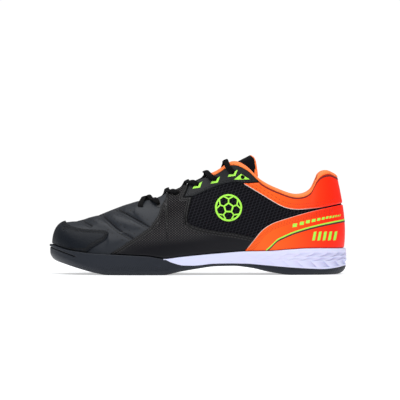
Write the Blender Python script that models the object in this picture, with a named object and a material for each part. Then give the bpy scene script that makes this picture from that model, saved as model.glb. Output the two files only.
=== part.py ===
"""Indoor soccer shoe for the left foot, standing empty on its sole.

Metres. The toe points to -X, the outer side of the foot faces -Y, and the floor is z = 0.
The upper is one surface function, S(station, side, height share), read from a table of
stations that runs from the back of the heel to the tip of the toe. Every other piece takes
its size and place from that function and from the named sizes and clearances.
"""

import functools
import math

import bmesh
import bpy
from mathutils import Vector

MM = 0.001

# Sizes of the last
UPPER_LENGTH = 285 * MM
BALL_WIDTH = 94 * MM
HEEL_HEIGHT = 99.7 * MM
ANKLE_HEIGHT = 76.4 * MM
INSTEP_HEIGHT = 108.8 * MM
TOE_HEIGHT = 51.3 * MM

# Walls, layers and clearances
GAP = 0.3 * MM
UPPER_WALL = 2.6 * MM
COLLAR_PADDING = 6.5 * MM
OVERLAY = 1.0 * MM
OVERLAY_TOP = 0.985
BINDING_RISE = 2.6 * MM
BINDING_OVERHANG = 1.5 * MM
TONGUE_WALL = 4.0 * MM
TONGUE_CLEARANCE = 0.9 * MM
TONGUE_NARROWING = 0.28
TONGUE_CROWN = 0.2
TONGUE_RISE = 18 * MM
TONGUE_SWEEP = 9 * MM
TONGUE_DROP = 8 * MM
INSOLE_THICKNESS = 3.5 * MM

# Sole
RIM_WALL = 2.8 * MM
SOLE_BULGE = 0.8 * MM
RIB_DEPTH = 1.2 * MM
TOE_BAND = 5.5 * MM
TOE_BAND_STEP = 0.6 * MM
LIP = 0.8 * MM
CUP_SHARES = (1, 0.66, 0.33, 0)
FLEX_GROOVE_WIDTH = 2.4 * MM
FLEX_GROOVE_DEPTH = 1.5 * MM

# Lacing
LACE_WIDTH = 5.6 * MM
LACE_THICKNESS = 1.6 * MM
LACE_SLACK = 2.2 * MM
EYELET_RADIUS = 2.0 * MM

# Lattice: rows from sole to edge, and twice as many sections round the heel and the toe
ROWS = 6
HEEL_STATIONS = 4
TOE_STATIONS = 17
ARCH_HALVES = (10.5, 11.5)
SPINE_TURN = 0.34

OUTER, INNER = -1, 1
HEIGHTS = {"heel": HEEL_HEIGHT, "ankle": ANKLE_HEIGHT, "instep": INSTEP_HEIGHT, "toe": TOE_HEIGHT}

# Each station is one line of the upper from the sole up to the collar, the throat or the
# ridge of the vamp. x is a share of UPPER_LENGTH, z a share of the named height, and every
# other length a share of BALL_WIDTH. foot_outer and foot_inner are measured from y = 0, and
# top_half to both sides of mid_y. belly and reach push the two handles of the line outward,
# rise and drop move them up from the foot and down from the top by a share of the height.
STATION_COLUMNS = (
    "foot_x foot_outer foot_inner top_x mid_y top_half of top_z belly reach rise drop"
).split()
STATIONS = [
    (0.497, -0.023, 0.023, 0.477, 0.023, 0.000, "heel", 0.963, 0.053, 0.064, 0.35, 0.35),
    (0.488, 0.127, 0.168, 0.468, 0.023, 0.100, "heel", 0.978, 0.053, 0.064, 0.35, 0.35),
    (0.449, 0.267, 0.300, 0.444, 0.023, 0.200, "heel", 1.000, 0.050, 0.060, 0.35, 0.35),
    (0.393, 0.328, 0.358, 0.415, 0.023, 0.256, "heel", 0.957, 0.046, 0.058, 0.35, 0.35),
    (0.333, 0.343, 0.365, 0.386, 0.023, 0.280, "ankle", 1.056, 0.042, 0.060, 0.35, 0.35),
    (0.274, 0.344, 0.355, 0.339, 0.023, 0.290, "ankle", 1.000, 0.040, 0.064, 0.34, 0.35),
    (0.214, 0.348, 0.341, 0.279, 0.018, 0.296, "ankle", 1.066, 0.040, 0.068, 0.34, 0.34),
    (0.154, 0.360, 0.323, 0.218, 0.013, 0.290, "ankle", 1.182, 0.038, 0.080, 0.36, 0.33),
    (0.091, 0.381, 0.307, 0.166, 0.008, 0.262, "instep", 0.957, 0.034, 0.100, 0.38, 0.32),
    (0.028, 0.407, 0.313, 0.118, 0.001, 0.215, "instep", 0.998, 0.030, 0.125, 0.40, 0.28),
    (-0.035, 0.437, 0.342, 0.060, -0.003, 0.165, "instep", 0.908, 0.026, 0.150, 0.42, 0.22),
    (-0.095, 0.466, 0.395, -0.014, -0.003, 0.138, "instep", 0.840, 0.022, 0.172, 0.45, 0.19),
    (-0.151, 0.490, 0.445, -0.091, -0.001, 0.120, "instep", 0.749, 0.020, 0.190, 0.48, 0.16),
    (-0.200, 0.500, 0.480, -0.161, 0.003, 0.100, "instep", 0.669, 0.018, 0.205, 0.52, 0.13),
    (-0.232, 0.496, 0.495, -0.207, 0.007, 0.070, "toe", 1.350, 0.018, 0.215, 0.55, 0.08),
    (-0.263, 0.487, 0.501, -0.232, 0.013, 0.000, "toe", 1.308, 0.018, 0.235, 0.58, 0.00),
    (-0.309, 0.461, 0.491, -0.281, 0.023, 0.000, "toe", 1.228, 0.018, 0.230, 0.60, 0.00),
    (-0.353, 0.422, 0.466, -0.326, 0.035, 0.000, "toe", 1.150, 0.018, 0.215, 0.62, 0.00),
    (-0.393, 0.366, 0.430, -0.368, 0.047, 0.000, "toe", 1.082, 0.017, 0.190, 0.63, 0.00),
    (-0.430, 0.288, 0.376, -0.404, 0.057, 0.000, "toe", 1.040, 0.016, 0.160, 0.64, 0.00),
    (-0.461, 0.193, 0.310, -0.430, 0.065, 0.000, "toe", 1.020, 0.014, 0.130, 0.64, 0.00),
    (-0.486, 0.078, 0.222, -0.446, 0.071, 0.000, "toe", 1.008, 0.012, 0.100, 0.64, 0.00),
    (-0.500, -0.076, 0.076, -0.456, 0.076, 0.000, "toe", 1.000, 0.010, 0.080, 0.63, 0.00),
]
LAST_STATION = len(STATIONS) - 1
THROAT_STATION = 15
BINDING_END_STATION = 10
BOUND_EYELETS = 10.8

# Side profiles of the sole along the length, as shares of UPPER_LENGTH, with heights above
# the floor. bottom is the ground side with toe spring and arch, bed the top that the foot
# stands on, rim the top edge of the side wall, and wall the top edge of the black rubber.
SOLE_HEIGHT = 26 * MM
BOTTOM = [(-0.52, 0.59), (-0.46, 0.40), (-0.41, 0.24), (-0.35, 0.075), (-0.305, 0), (-0.12, 0),
          (-0.06, 0.13), (0.0, 0.24), (0.06, 0.325), (0.12, 0.34), (0.18, 0.27), (0.25, 0.10),
          (0.32, 0), (0.52, 0)]
BED = [(-0.52, 1.04), (-0.46, 0.85), (-0.39, 0.60), (-0.32, 0.45), (-0.25, 0.40), (-0.17, 0.385),
       (-0.08, 0.42), (0.0, 0.50), (0.10, 0.59), (0.21, 0.66), (0.32, 0.71), (0.52, 0.71)]
RIM = [(-0.52, 1.21), (-0.48, 1.06), (-0.44, 0.93), (-0.40, 0.86), (-0.35, 0.80), (-0.25, 0.75),
       (-0.17, 0.70), (-0.116, 0.61), (-0.06, 0.68), (0.013, 0.76), (0.09, 0.83), (0.16, 0.885),
       (0.24, 0.90), (0.31, 0.955), (0.39, 1.0), (0.52, 0.985)]
WALL = [(-0.116, 0.61), (-0.087, 0.465), (-0.052, 0.37), (-0.016, 0.362), (0.051, 0.43),
        (0.107, 0.442), (0.163, 0.43), (0.24, 0.36), (0.313, 0.29), (0.388, 0.24), (0.425, 0.225),
        (0.463, 0.265), (0.52, 0.42)]
RUBBER = [(-0.52, 0.13), (-0.06, 0.13), (0.03, 0.09), (0.10, 0.072), (0.18, 0.11), (0.26, 0.19),
          (0.33, 0.215), (0.52, 0.20)]
# Corner rounding between the ground side and the wall: inward and upward shares
CORNER_IN = [(-0.52, 0.30), (-0.42, 0.26), (-0.30, 0.19), (0.30, 0.19), (0.42, 0.26), (0.52, 0.46)]
CORNER_UP = [(-0.52, 0.30), (-0.42, 0.24), (-0.30, 0.20), (-0.05, 0.16), (0.10, 0.08), (0.22, 0.12),
             (0.38, 0.20), (0.52, 0.36)]

# Outlines seen from the side: x as shares of UPPER_LENGTH, z as shares of INSTEP_HEIGHT.
# SOLE stands for the rim line, and ABOVE for a point clear of the upper.
SOLE, ABOVE = "sole", "above"
TOE_CAP_EDGE = [(-0.470, 0.56), (-0.457, 0.470), (-0.443, 0.441), (-0.419, 0.420), (-0.387, 0.405),
                (-0.352, 0.402), (-0.317, 0.396), (-0.304, 0.378), (-0.314, 0.318), (-0.339, 0.276),
                (-0.362, 0.238), (-0.380, SOLE)]
SIDE_FRONT = [(-0.303, SOLE), (-0.254, 0.266), (-0.206, 0.348), (-0.165, 0.424), (-0.145, 0.496),
              (-0.134, 0.543), (-0.127, 0.600), (-0.117, 0.658), (-0.108, 0.720), (-0.098, ABOVE)]
EYESTAY_FRONT = [(-0.021, ABOVE), (-0.029, 0.820), (-0.038, 0.745), (-0.047, 0.694)]
EYESTAY_LOWER = [(-0.047, 0.694), (-0.015, 0.705), (0.010, 0.733), (0.053, 0.782), (0.090, 0.816),
                 (0.125, 0.832), (0.156, 0.826), (0.187, 0.829), (0.222, 0.848)]
EYESTAY_TAIL = [(0.222, 0.848), (0.236, ABOVE)]
WINDOW_FRONT = [(-0.019, 0.694), (-0.027, 0.614), (-0.034, 0.518), (-0.033, 0.470), (-0.018, 0.442),
                (0.016, 0.416), (0.065, 0.392), (0.126, 0.372), (0.190, 0.337)]
COUNTER_UPPER = [(0.160, SOLE), (0.192, 0.315), (0.220, 0.401), (0.249, 0.453), (0.277, 0.483),
                 (0.334, 0.528), (0.392, 0.570), (0.449, 0.604), (0.520, 0.640)]
COLLAR_LOWER = [(0.150, 0.826), (0.192, 0.761), (0.234, 0.694), (0.277, 0.627), (0.306, 0.597),
                (0.334, 0.585), (0.363, 0.587), (0.421, 0.604), (0.470, 0.628), (0.520, 0.655)]

# Eyelets of one side, seen from the side, front to back
EYELETS = [(-0.196, 0.590), (-0.134, 0.630), (-0.071, 0.724), (-0.001, 0.804), (0.061, 0.850),
           (0.120, 0.913), (0.154, 0.873)]
LACED_EYELETS = 6

# Grooves across the ground side, as shares of UPPER_LENGTH
FLEX_GROOVES = (-0.290, -0.245, -0.200, -0.155, 0.350, 0.400)

COLOURS = {
    "black_leather": ((0.020, 0.022, 0.028), 0.45),
    "embossed_leather": ((0.016, 0.016, 0.020), 0.38),
    "black_rubber": ((0.030, 0.033, 0.040), 0.60),
    "white_foam": ((0.72, 0.72, 0.84), 0.55),
    "orange_synthetic": ((0.90, 0.12, 0.02), 0.45),
    "orange_lining": ((0.95, 0.22, 0.04), 0.80),
    "black_textile": ((0.012, 0.012, 0.015), 0.85),
    "lace_weave": ((0.015, 0.015, 0.017), 0.90),
}


def clear_scene():
    """Removes every object, so that only the shoe is left."""
    for obj in list(bpy.data.objects):
        bpy.data.objects.remove(obj, do_unlink=True)


def material(name):
    """The Principled material of that name, made once."""
    found = bpy.data.materials.get(name)
    if found:
        return found
    colour, roughness = COLOURS[name]
    made = bpy.data.materials.new(name)
    made.use_nodes = True
    shader = made.node_tree.nodes["Principled BSDF"]
    shader.inputs["Base Color"].default_value = (*colour, 1)
    shader.inputs["Roughness"].default_value = roughness
    shader.inputs["Metallic"].default_value = 0
    return made


def profile(points, x):
    """Height of a side profile at x, a share of the length, with no overshoot between points."""
    if x <= points[0][0]:
        return points[0][1]
    if x >= points[-1][0]:
        return points[-1][1]
    slopes = [(b[1] - a[1]) / (b[0] - a[0]) for a, b in zip(points, points[1:])]

    def tangent(i):
        if i == 0 or i == len(points) - 1:
            return slopes[min(i, len(slopes) - 1)]
        before, after = slopes[i - 1], slopes[i]
        return 0 if before * after <= 0 else 2 * before * after / (before + after)

    i = max(k for k in range(len(points) - 1) if points[k][0] <= x)
    (x0, y0), (x1, y1) = points[i], points[i + 1]
    step = x1 - x0
    t = (x - x0) / step
    return (
        y0 * (1 + 2 * t) * (1 - t) ** 2
        + y1 * t * t * (3 - 2 * t)
        + step * (tangent(i) * t * (1 - t) ** 2 - tangent(i + 1) * t * t * (1 - t))
    )


def bottom_z(x):
    return SOLE_HEIGHT * profile(BOTTOM, x / UPPER_LENGTH)


def bed_z(x):
    return SOLE_HEIGHT * profile(BED, x / UPPER_LENGTH)


def rim_z(x):
    return SOLE_HEIGHT * profile(RIM, x / UPPER_LENGTH)


def wall_z(x):
    share = x / UPPER_LENGTH
    return rim_z(x) if share < WALL[0][0] else SOLE_HEIGHT * profile(WALL, share)


def tray_z(x):
    return bottom_z(x) + SOLE_HEIGHT * profile(RUBBER, x / UPPER_LENGTH)


def smooth(values, t):
    """Catmull-Rom curve through evenly numbered values, numbers or vectors."""
    i = min(max(int(math.floor(t)), 0), len(values) - 2)
    f = t - i
    b, c = values[i], values[i + 1]
    a = values[i - 1] if i > 0 else 2 * b - c
    d = values[i + 2] if i + 2 < len(values) else 2 * c - b
    return 0.5 * (2 * b + f * (c - a) + f * f * (2 * a - 5 * b + 4 * c - d)
                  + f ** 3 * (3 * b - a - 3 * c + d))


def column(name):
    k = STATION_COLUMNS.index(name)
    return [row[k] for row in STATIONS]


FOOT_X = [UPPER_LENGTH * share for share in column("foot_x")]
FOOT_Y = {OUTER: [-BALL_WIDTH * share for share in column("foot_outer")],
          INNER: [BALL_WIDTH * share for share in column("foot_inner")]}
TOP_X = [UPPER_LENGTH * share for share in column("top_x")]
MID_Y = [BALL_WIDTH * share for share in column("mid_y")]
TOP_HALF = [BALL_WIDTH * share for share in column("top_half")]
TOP_Z = [HEIGHTS[of] * share for of, share in zip(column("of"), column("top_z"))]
HANDLES = {name: column(name) for name in ("belly", "reach", "rise", "drop")}


def loop_value(one, other, side, t):
    """A value that goes on round the heel and the toe into the other side's values."""
    last = LAST_STATION
    here, there = (one, other) if side == OUTER else (other, one)
    round_trip = [there[1], *here, there[last - 1]]
    return smooth(round_trip, t + 1)


@functools.lru_cache(maxsize=None)
def foot_point(t, side):
    """The lower edge of the upper's outer surface, seen from above."""
    x = loop_value(FOOT_X, FOOT_X, side, t)
    y = loop_value(FOOT_Y[OUTER], FOOT_Y[INNER], side, t)
    return Vector((x, y, 0))


@functools.lru_cache(maxsize=None)
def outward(t, side):
    """Level normal of the sole's outline at a station, pointing away from the foot."""
    step = 0.05
    along = foot_point(t + step, side) - foot_point(t - step, side)
    normal = Vector((-along.y, along.x, 0)) * side
    return -normal.normalized()


def top_half(t):
    if t >= THROAT_STATION:
        return 0.0
    half = max(smooth(TOP_HALF, t), 0.0)
    if t < 1:
        half = loop_value(TOP_HALF, [-v for v in TOP_HALF], OUTER, t)
    return half


@functools.lru_cache(maxsize=None)
def top_point(t, side):
    """The collar edge, the throat edge or the ridge of the vamp."""
    x = loop_value(TOP_X, TOP_X, side, t)
    z = loop_value(TOP_Z, TOP_Z, side, t)
    return Vector((x, smooth(MID_Y, t) + side * top_half(t), z))


@functools.lru_cache(maxsize=None)
def upper_point(t, side, v):
    """The upper's outer surface: station t, side of the foot, and share v from sole to edge."""
    foot = foot_point(t, side).copy()
    foot.z = bed_z(foot.x) + GAP
    top = top_point(t, side)
    height = top.z - foot.z
    away = outward(t, side)
    step = 0.25
    ridge = top_point(min(t + step, LAST_STATION), side) - top_point(t - step, side)
    slope = ridge.z / ridge.x if t > THROAT_STATION - 1 else 0.0
    handle = {name: smooth(values, t) for name, values in HANDLES.items()}
    low = foot + away * handle["belly"] * BALL_WIDTH + Vector((0, 0, handle["rise"] * height))
    reach = away * handle["reach"] * BALL_WIDTH
    high = top + reach + Vector((0, 0, reach.x * slope - handle["drop"] * height))
    u = 1 - v
    return u ** 3 * foot + 3 * u * u * v * low + 3 * u * v * v * high + v ** 3 * top


@functools.lru_cache(maxsize=None)
def upper_normal(t, side, v):
    """Unit normal of the upper's outer surface, pointing out of the shoe."""
    dt, dv = 0.04, 0.02
    along = upper_point(t + dt, side, v) - upper_point(t - dt, side, v)
    low, high = max(v - dv, 0), min(v + dv, 1)
    up = upper_point(t, side, high) - upper_point(t, side, low)
    normal = along.cross(up) * side
    return normal.normalized()


def smoothstep(low, high, value):
    t = min(max((value - low) / (high - low), 0), 1)
    return t * t * (3 - 2 * t)


def wall_thickness(t, v):
    """Thickness of the upper, which grows into the padded collar behind the throat."""
    padded = (1 - smoothstep(8.0, 9.6, t)) * smoothstep(0.5, 0.86, v)
    return UPPER_WALL + (COLLAR_PADDING - UPPER_WALL) * padded


def offset_point(t, side, v, distance):
    """A point off the upper's outer surface. The lower edge is moved level, so it stays level."""
    if v <= 0:
        return upper_point(t, side, 0) + outward(t, side) * distance
    if t >= THROAT_STATION and v >= 1:
        level = upper_normal(t, side, 1)
        return upper_point(t, side, 1) + Vector((level.x, 0, level.z)).normalized() * distance
    return upper_point(t, side, v) + upper_normal(t, side, v) * distance


def lattice_stations():
    """Stations of the lattice, with halves where the plan outline turns quickly."""
    whole = [float(t) for t in range(LAST_STATION + 1)]
    halves = [t + 0.5 for t in whole[:-1] if t < HEEL_STATIONS or t >= TOE_STATIONS]
    return sorted([*whole, *halves, *ARCH_HALVES])


class Lattice:
    """Collects points by key and faces by point, so that shared points are joined."""

    def __init__(self):
        self.bm = bmesh.new()
        self.points = {}

    def vert(self, key, position):
        if key not in self.points:
            self.points[key] = self.bm.verts.new(position)
        return self.points[key]

    def face(self, *verts):
        kept = [v for i, v in enumerate(verts) if v not in verts[:i]]
        if len(kept) == 4:
            self.bm.faces.new(kept[:3])
            self.bm.faces.new((kept[0], kept[2], kept[3]))
        elif len(kept) == 3:
            self.bm.faces.new(kept)

    def object(self, name, material_name, smooth_shaded=True):
        bmesh.ops.recalc_face_normals(self.bm, faces=self.bm.faces)
        if self.bm.calc_volume(signed=True) < 0:
            bmesh.ops.reverse_faces(self.bm, faces=self.bm.faces)
        mesh = bpy.data.meshes.new(name)
        self.bm.to_mesh(mesh)
        self.bm.free()
        mesh.materials.append(material(material_name))
        if smooth_shaded:
            mesh.shade_smooth()
            mesh.set_sharp_from_angle(angle=math.radians(40))
        obj = bpy.data.objects.new(name, mesh)
        bpy.context.scene.collection.objects.link(obj)
        return obj


def side_key(t, side):
    """Both sides share the lines at the back of the heel and at the tip of the toe."""
    return OUTER if t in (0, LAST_STATION) else side


def wrapped_shell(name, material_name, outer_distance, inner_distance, top_share=1.0):
    """A closed shell between two offsets of the upper, open at collar, throat and underneath."""
    grid = Lattice()
    stations = lattice_stations()

    def point(layer, t, side, row):
        shared = side_key(t, side)
        if row == ROWS and t >= THROAT_STATION:
            shared = OUTER
        v = row / ROWS * (top_share if t < THROAT_STATION else 1)
        distance = (outer_distance if layer == "out" else inner_distance)(t, v)
        return grid.vert((layer, t, shared, row), offset_point(t, shared, v, distance))

    for side in (OUTER, INNER):
        for a, b in zip(stations, stations[1:]):
            for row in range(ROWS):
                for layer in ("out", "in"):
                    grid.face(point(layer, a, side, row), point(layer, b, side, row),
                              point(layer, b, side, row + 1), point(layer, a, side, row + 1))
            ends = [0] if a >= THROAT_STATION else [0, ROWS]
            for row in ends:
                grid.face(point("out", a, side, row), point("out", b, side, row),
                          point("in", b, side, row), point("in", a, side, row))
    return grid.object(name, material_name)


def share_at_height(t, side, z):
    """The share v at which the upper's line at a station passes a height."""
    low, high = 0.0, 0.6
    for _ in range(24):
        middle = (low + high) / 2
        if upper_point(t, side, middle).z < z:
            low = middle
        else:
            high = middle
    return (low + high) / 2


@functools.lru_cache(maxsize=None)
def edge_point(t, side, z, distance):
    """A point at height z, a level distance outside the upper or its lower edge."""
    foot = upper_point(t, side, 0)
    base = foot if z <= foot.z else upper_point(t, side, share_at_height(t, side, z))
    place = base + outward(t, side) * distance
    return Vector((place.x, place.y, z))


def spine_point(t, z_of):
    """The middle line of the sole, drawn in from heel and toe."""
    outer, inner = foot_point(t, OUTER), foot_point(t, INNER)
    middle = (outer + inner) / 2
    beyond = max(abs(middle.x) - SPINE_TURN * UPPER_LENGTH, 0)
    middle.x -= math.copysign(beyond / 2, middle.x)
    middle.z = z_of(middle.x)
    return middle


def ringed_body(name, material_name, rings, low_z, high_z):
    """A closed body of rings round the foot, from the lower middle line to the upper one."""
    grid = Lattice()
    stations = lattice_stations()

    def ring_vert(k, t, side):
        shared = side_key(t, side)
        return grid.vert((k, t, shared), rings[k](t, shared))

    def spine_vert(end, t):
        return grid.vert((end, t), spine_point(t, low_z if end == "low" else high_z))

    for side in (OUTER, INNER):
        for a, b in zip(stations, stations[1:]):
            for end, k in (("low", 0), ("high", len(rings) - 1)):
                corners = [spine_vert(end, a), spine_vert(end, b), ring_vert(k, b, side),
                           ring_vert(k, a, side)]
                if b == LAST_STATION:
                    corners = corners[1:] + corners[:1]
                grid.face(*corners)
            for k in range(len(rings) - 1):
                grid.face(ring_vert(k, a, side), ring_vert(k, b, side),
                          ring_vert(k + 1, b, side), ring_vert(k + 1, a, side))
    return grid.object(name, material_name)


def wall_side(t, side, z, distance):
    """A point of the sole's outer side wall. Past the foot's edge it follows the rim above."""
    rim = edge_point(t, side, rim_z(foot_point(t, side).x), GAP + RIM_WALL + distance)
    return Vector((rim.x, rim.y, z))


def corner_ring(angle):
    """One ring of the rounded corner between ground side and wall, 0 at the ground side."""
    def ring(t, side):
        share = foot_point(t, side).x / UPPER_LENGTH
        inward = SOLE_HEIGHT * profile(CORNER_IN, share) * (1 - math.sin(angle))
        upward = SOLE_HEIGHT * profile(CORNER_UP, share) * (1 - math.cos(angle))
        place = wall_side(t, side, 0, -inward)
        place.z = bottom_z(place.x) + upward
        return place
    return ring


def cup_ring(share, distance):
    """A ring on the inner face of the rubber's wall, from the tray (0) to the top edge (1)."""
    def ring(t, side):
        x = foot_point(t, side).x
        return edge_point(t, side, tray_z(x) + (wall_z(x) - tray_z(x)) * share, distance)
    return ring


def bed_ring(share):
    """A ring on the inner face of the foam's wall, from the footbed (0) to the rim (1)."""
    def ring(t, side):
        x = foot_point(t, side).x
        return edge_point(t, side, bed_z(x) + (rim_z(x) - bed_z(x)) * share, GAP)
    return ring


def outsole():
    """Black rubber: ground side, rounded corner, and a cup wall that is high at the forefoot."""
    def wall_ring(share, distance):
        def ring(t, side):
            x = foot_point(t, side).x
            low = corner_ring(math.pi / 2)(t, side)
            top = wall_z(x)
            low.z = min(low.z, top - LIP)
            return wall_side(t, side, low.z + (top - low.z) * share, distance)
        return ring

    def band_share(t, side):
        x = foot_point(t, side).x
        height = wall_z(x) - corner_ring(math.pi / 2)(t, side).z
        front = smoothstep(-0.25, -0.40, x / UPPER_LENGTH)
        return 1 - min(TOE_BAND / max(height, TOE_BAND), 0.6), front

    def band_ring(above):
        def ring(t, side):
            share, front = band_share(t, side)
            share += above * 0.06
            step = 0 if above else -TOE_BAND_STEP * front
            return wall_ring(share, step)(t, side)
        return ring

    def corner_top(t, side):
        place = corner_ring(math.pi / 2)(t, side)
        place.z = min(place.z, wall_z(foot_point(t, side).x) - LIP)
        return place

    rings = [corner_ring(0), corner_ring(math.radians(30)), corner_ring(math.radians(60)),
             corner_top, band_ring(0), band_ring(1), wall_ring(1, 0)]
    rings += [cup_ring(share, GAP) for share in CUP_SHARES]
    body = ringed_body("outsole", "black_rubber", rings, bottom_z, tray_z)
    for k, share in enumerate(FLEX_GROOVES):
        cut_box(body, f"flex_groove_{k}", share * UPPER_LENGTH)
    return body


def cut_box(body, name, x):
    """Cuts one groove straight across the ground side."""
    depth = bottom_z(x) + FLEX_GROOVE_DEPTH
    bm = bmesh.new()
    bmesh.ops.create_cube(bm, size=1)
    bmesh.ops.scale(bm, vec=(FLEX_GROOVE_WIDTH, 2 * BALL_WIDTH, 2 * depth), verts=bm.verts)
    bmesh.ops.translate(bm, vec=(x, 0, 0), verts=bm.verts)
    cutter = helper(name, bm)
    boolean(body, cutter, "DIFFERENCE")


def helper(name, bm):
    """A cutter: hidden from renders and drawn as wire."""
    bmesh.ops.recalc_face_normals(bm, faces=bm.faces)
    mesh = bpy.data.meshes.new(name)
    bm.to_mesh(mesh)
    bm.free()
    obj = bpy.data.objects.new(name, mesh)
    bpy.context.scene.collection.objects.link(obj)
    obj.hide_render = True
    obj.display_type = "WIRE"
    return obj


def boolean(body, other, operation):
    modifier = body.modifiers.new(other.name, "BOOLEAN")
    modifier.operation = operation
    modifier.object = other
    modifier.solver = "EXACT"


def midsole():
    """White foam: under the whole foot, and a bare ribbed wall from the arch to the heel."""
    def side_ring(share, ribs):
        def ring(t, side):
            x = foot_point(t, side).x
            low = wall_z(x)
            bulge = SOLE_BULGE * math.sin(math.pi * share)
            rear = smoothstep(-0.05, 0.10, x / UPPER_LENGTH)
            odd = (round(t) + ribs) % 2
            relief = -RIB_DEPTH * odd * rear if ribs else 0
            return wall_side(t, side, low + (rim_z(x) - low) * share, bulge * rear + relief)
        return ring

    def tray_ring(t, side):
        return cup_ring(0, GAP)(t, side) + Vector((0, 0, GAP))

    def base_ring(t, side):
        x = foot_point(t, side).x
        return wall_side(t, side, tray_z(x) + GAP, 0)

    def lip_ring(t, side):
        x = foot_point(t, side).x
        return wall_side(t, side, max(wall_z(x), tray_z(x) + 2 * GAP), 0)

    rings = [tray_ring, base_ring, lip_ring, side_ring(0.22, 0), side_ring(0.45, 1), side_ring(0.70, 2),
             side_ring(0.88, 0), side_ring(1.0, 0)]
    rings += [bed_ring(share) for share in (1, 0.5, 0)]
    body = ringed_body("midsole", "white_foam", rings, lambda x: tray_z(x) + GAP, bed_z)
    boolean(body, outsole_clearance(), "DIFFERENCE")
    return body


def outsole_clearance():
    """The room that the outsole's wall needs: the wall grown by the gap, and wide outside."""
    grid = Lattice()
    stations = lattice_stations()
    far = 4 * RIM_WALL

    def corners(t, side):
        x = foot_point(t, side).x
        floor, top = tray_z(x) - 2 * LIP, wall_z(x) + GAP
        inner = [cup_ring(share, 0)(t, side) for share in CUP_SHARES]
        above = Vector((inner[0].x, inner[0].y, top))
        below = Vector((inner[-1].x, inner[-1].y, floor))
        return [above, *inner, below, wall_side(t, side, floor, far),
                wall_side(t, side, top, far)]

    def vert(t, side, k):
        shared = side_key(t, side)
        return grid.vert((t, shared, k), corners(t, shared)[k])

    for side in (OUTER, INNER):
        for a, b in zip(stations, stations[1:]):
            count = len(CUP_SHARES) + 4
            for k in range(count):
                n = (k + 1) % count
                grid.face(vert(a, side, k), vert(b, side, k), vert(b, side, n), vert(a, side, n))
    cutter = grid.object("outsole_clearance", "white_foam")
    cutter.hide_render = True
    cutter.display_type = "WIRE"
    return cutter


def insole():
    """Flat foam footbed that lies on the midsole inside the upper."""
    inset = UPPER_WALL + 2 * GAP

    def ring(height, distance):
        def at(t, side):
            x = foot_point(t, side).x
            place = edge_point(t, side, 0, -inset - distance).copy()
            place.z = bed_z(x) + GAP + height
            return place
        return at

    edge = 0.25 * INSOLE_THICKNESS
    rings = [ring(0, edge), ring(edge, 0), ring(INSOLE_THICKNESS - edge, 0),
             ring(INSOLE_THICKNESS, edge)]
    return ringed_body("insole", "black_textile", rings, lambda x: bed_z(x) + GAP,
                       lambda x: bed_z(x) + GAP + INSOLE_THICKNESS)


def upper():
    """One hollow solid: vamp, quarters and padded collar, with punched eyelets."""
    body = wrapped_shell("upper", "black_leather", lambda t, v: 0.0,
                         lambda t, v: -wall_thickness(t, v))
    boolean(body, bpy.data.objects["eyelet_punches"], "DIFFERENCE")
    return body


def share_on_side(x, z, side):
    """Station and share of the surface point of one side that is seen at x, z from the side."""
    t, v = 12.0, 0.8
    for _ in range(30):
        here = upper_point(t, side, v)
        by_t = (upper_point(t + 0.01, side, v) - here) / 0.01
        by_v = (here - upper_point(t, side, v - 0.01)) / 0.01
        dx, dz = x - here.x, z - here.z
        scale = by_t.x * by_v.z - by_v.x * by_t.z
        t += max(min((dx * by_v.z - dz * by_v.x) / scale, 0.7), -0.7)
        v += max(min((dz * by_t.x - dx * by_t.z) / scale, 0.1), -0.1)
        v = min(max(v, 0.2), 1.0)
    return t, v


def eyelet_share(k, side):
    x, z = EYELETS[k]
    return share_on_side(x * UPPER_LENGTH, z * INSTEP_HEIGHT, side)


def eyelet_punches():
    """The round punches of both eyelet rows, as one cutter."""
    bm = bmesh.new()
    length = 3 * (UPPER_WALL + OVERLAY)
    for side in (OUTER, INNER):
        for k in range(len(EYELETS)):
            t, v = eyelet_share(k, side)
            centre, normal = upper_point(t, side, v), upper_normal(t, side, v)
            turn = normal.to_track_quat("Z", "Y").to_matrix().to_4x4()
            turn.translation = centre
            bmesh.ops.create_cone(bm, cap_ends=True, segments=10, radius1=EYELET_RADIUS,
                                  radius2=EYELET_RADIUS, depth=length, matrix=turn)
    return helper("eyelet_punches", bm)


def side_outline(points):
    """An outline seen from the side, smoothed, in metres."""
    placed = []
    for x, z in points:
        if z == SOLE:
            z = rim_z(x * UPPER_LENGTH) / INSTEP_HEIGHT
        elif z == ABOVE:
            z = 1.08
        placed.append(Vector((x * UPPER_LENGTH, z * INSTEP_HEIGHT)))
    steps = 2
    count = (len(placed) - 1) * steps
    return [smooth(placed, i / steps) for i in range(count + 1)]


def rim_line(x_from, x_to, above):
    """The rim of the sole between two places, as a lower boundary for the overlays."""
    places = sorted(foot_point(t, OUTER).x for t in lattice_stations())
    low, high = min(x_from, x_to), max(x_from, x_to)
    breaks = [low, *[x for x in places if low < x < high], high]
    line = [Vector((x, rim_chord(places, x) + above)) for x in breaks]
    return line if x_from < x_to else list(reversed(line))


def rim_chord(places, x):
    """Height of the rim as built, straight between two sections of the lattice."""
    for a, b in zip(places, places[1:]):
        if a <= x <= b:
            return rim_z(a) + (rim_z(b) - rim_z(a)) * (x - a) / (b - a)
    return rim_z(x)


def prism(name, outline, y_from, y_to):
    """A cutter with the outline seen from the side, between two distances from the middle."""
    bm = bmesh.new()
    near = [bm.verts.new((p.x, y_from, p.y)) for p in outline]
    far = [bm.verts.new((p.x, y_to, p.y)) for p in outline]
    bm.faces.new(near)
    bm.faces.new(far)
    for i in range(len(outline)):
        n = (i + 1) % len(outline)
        bm.faces.new((near[i], near[n], far[n], far[i]))
    bmesh.ops.triangulate(bm, faces=bm.faces)
    return helper(name, bm)


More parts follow.
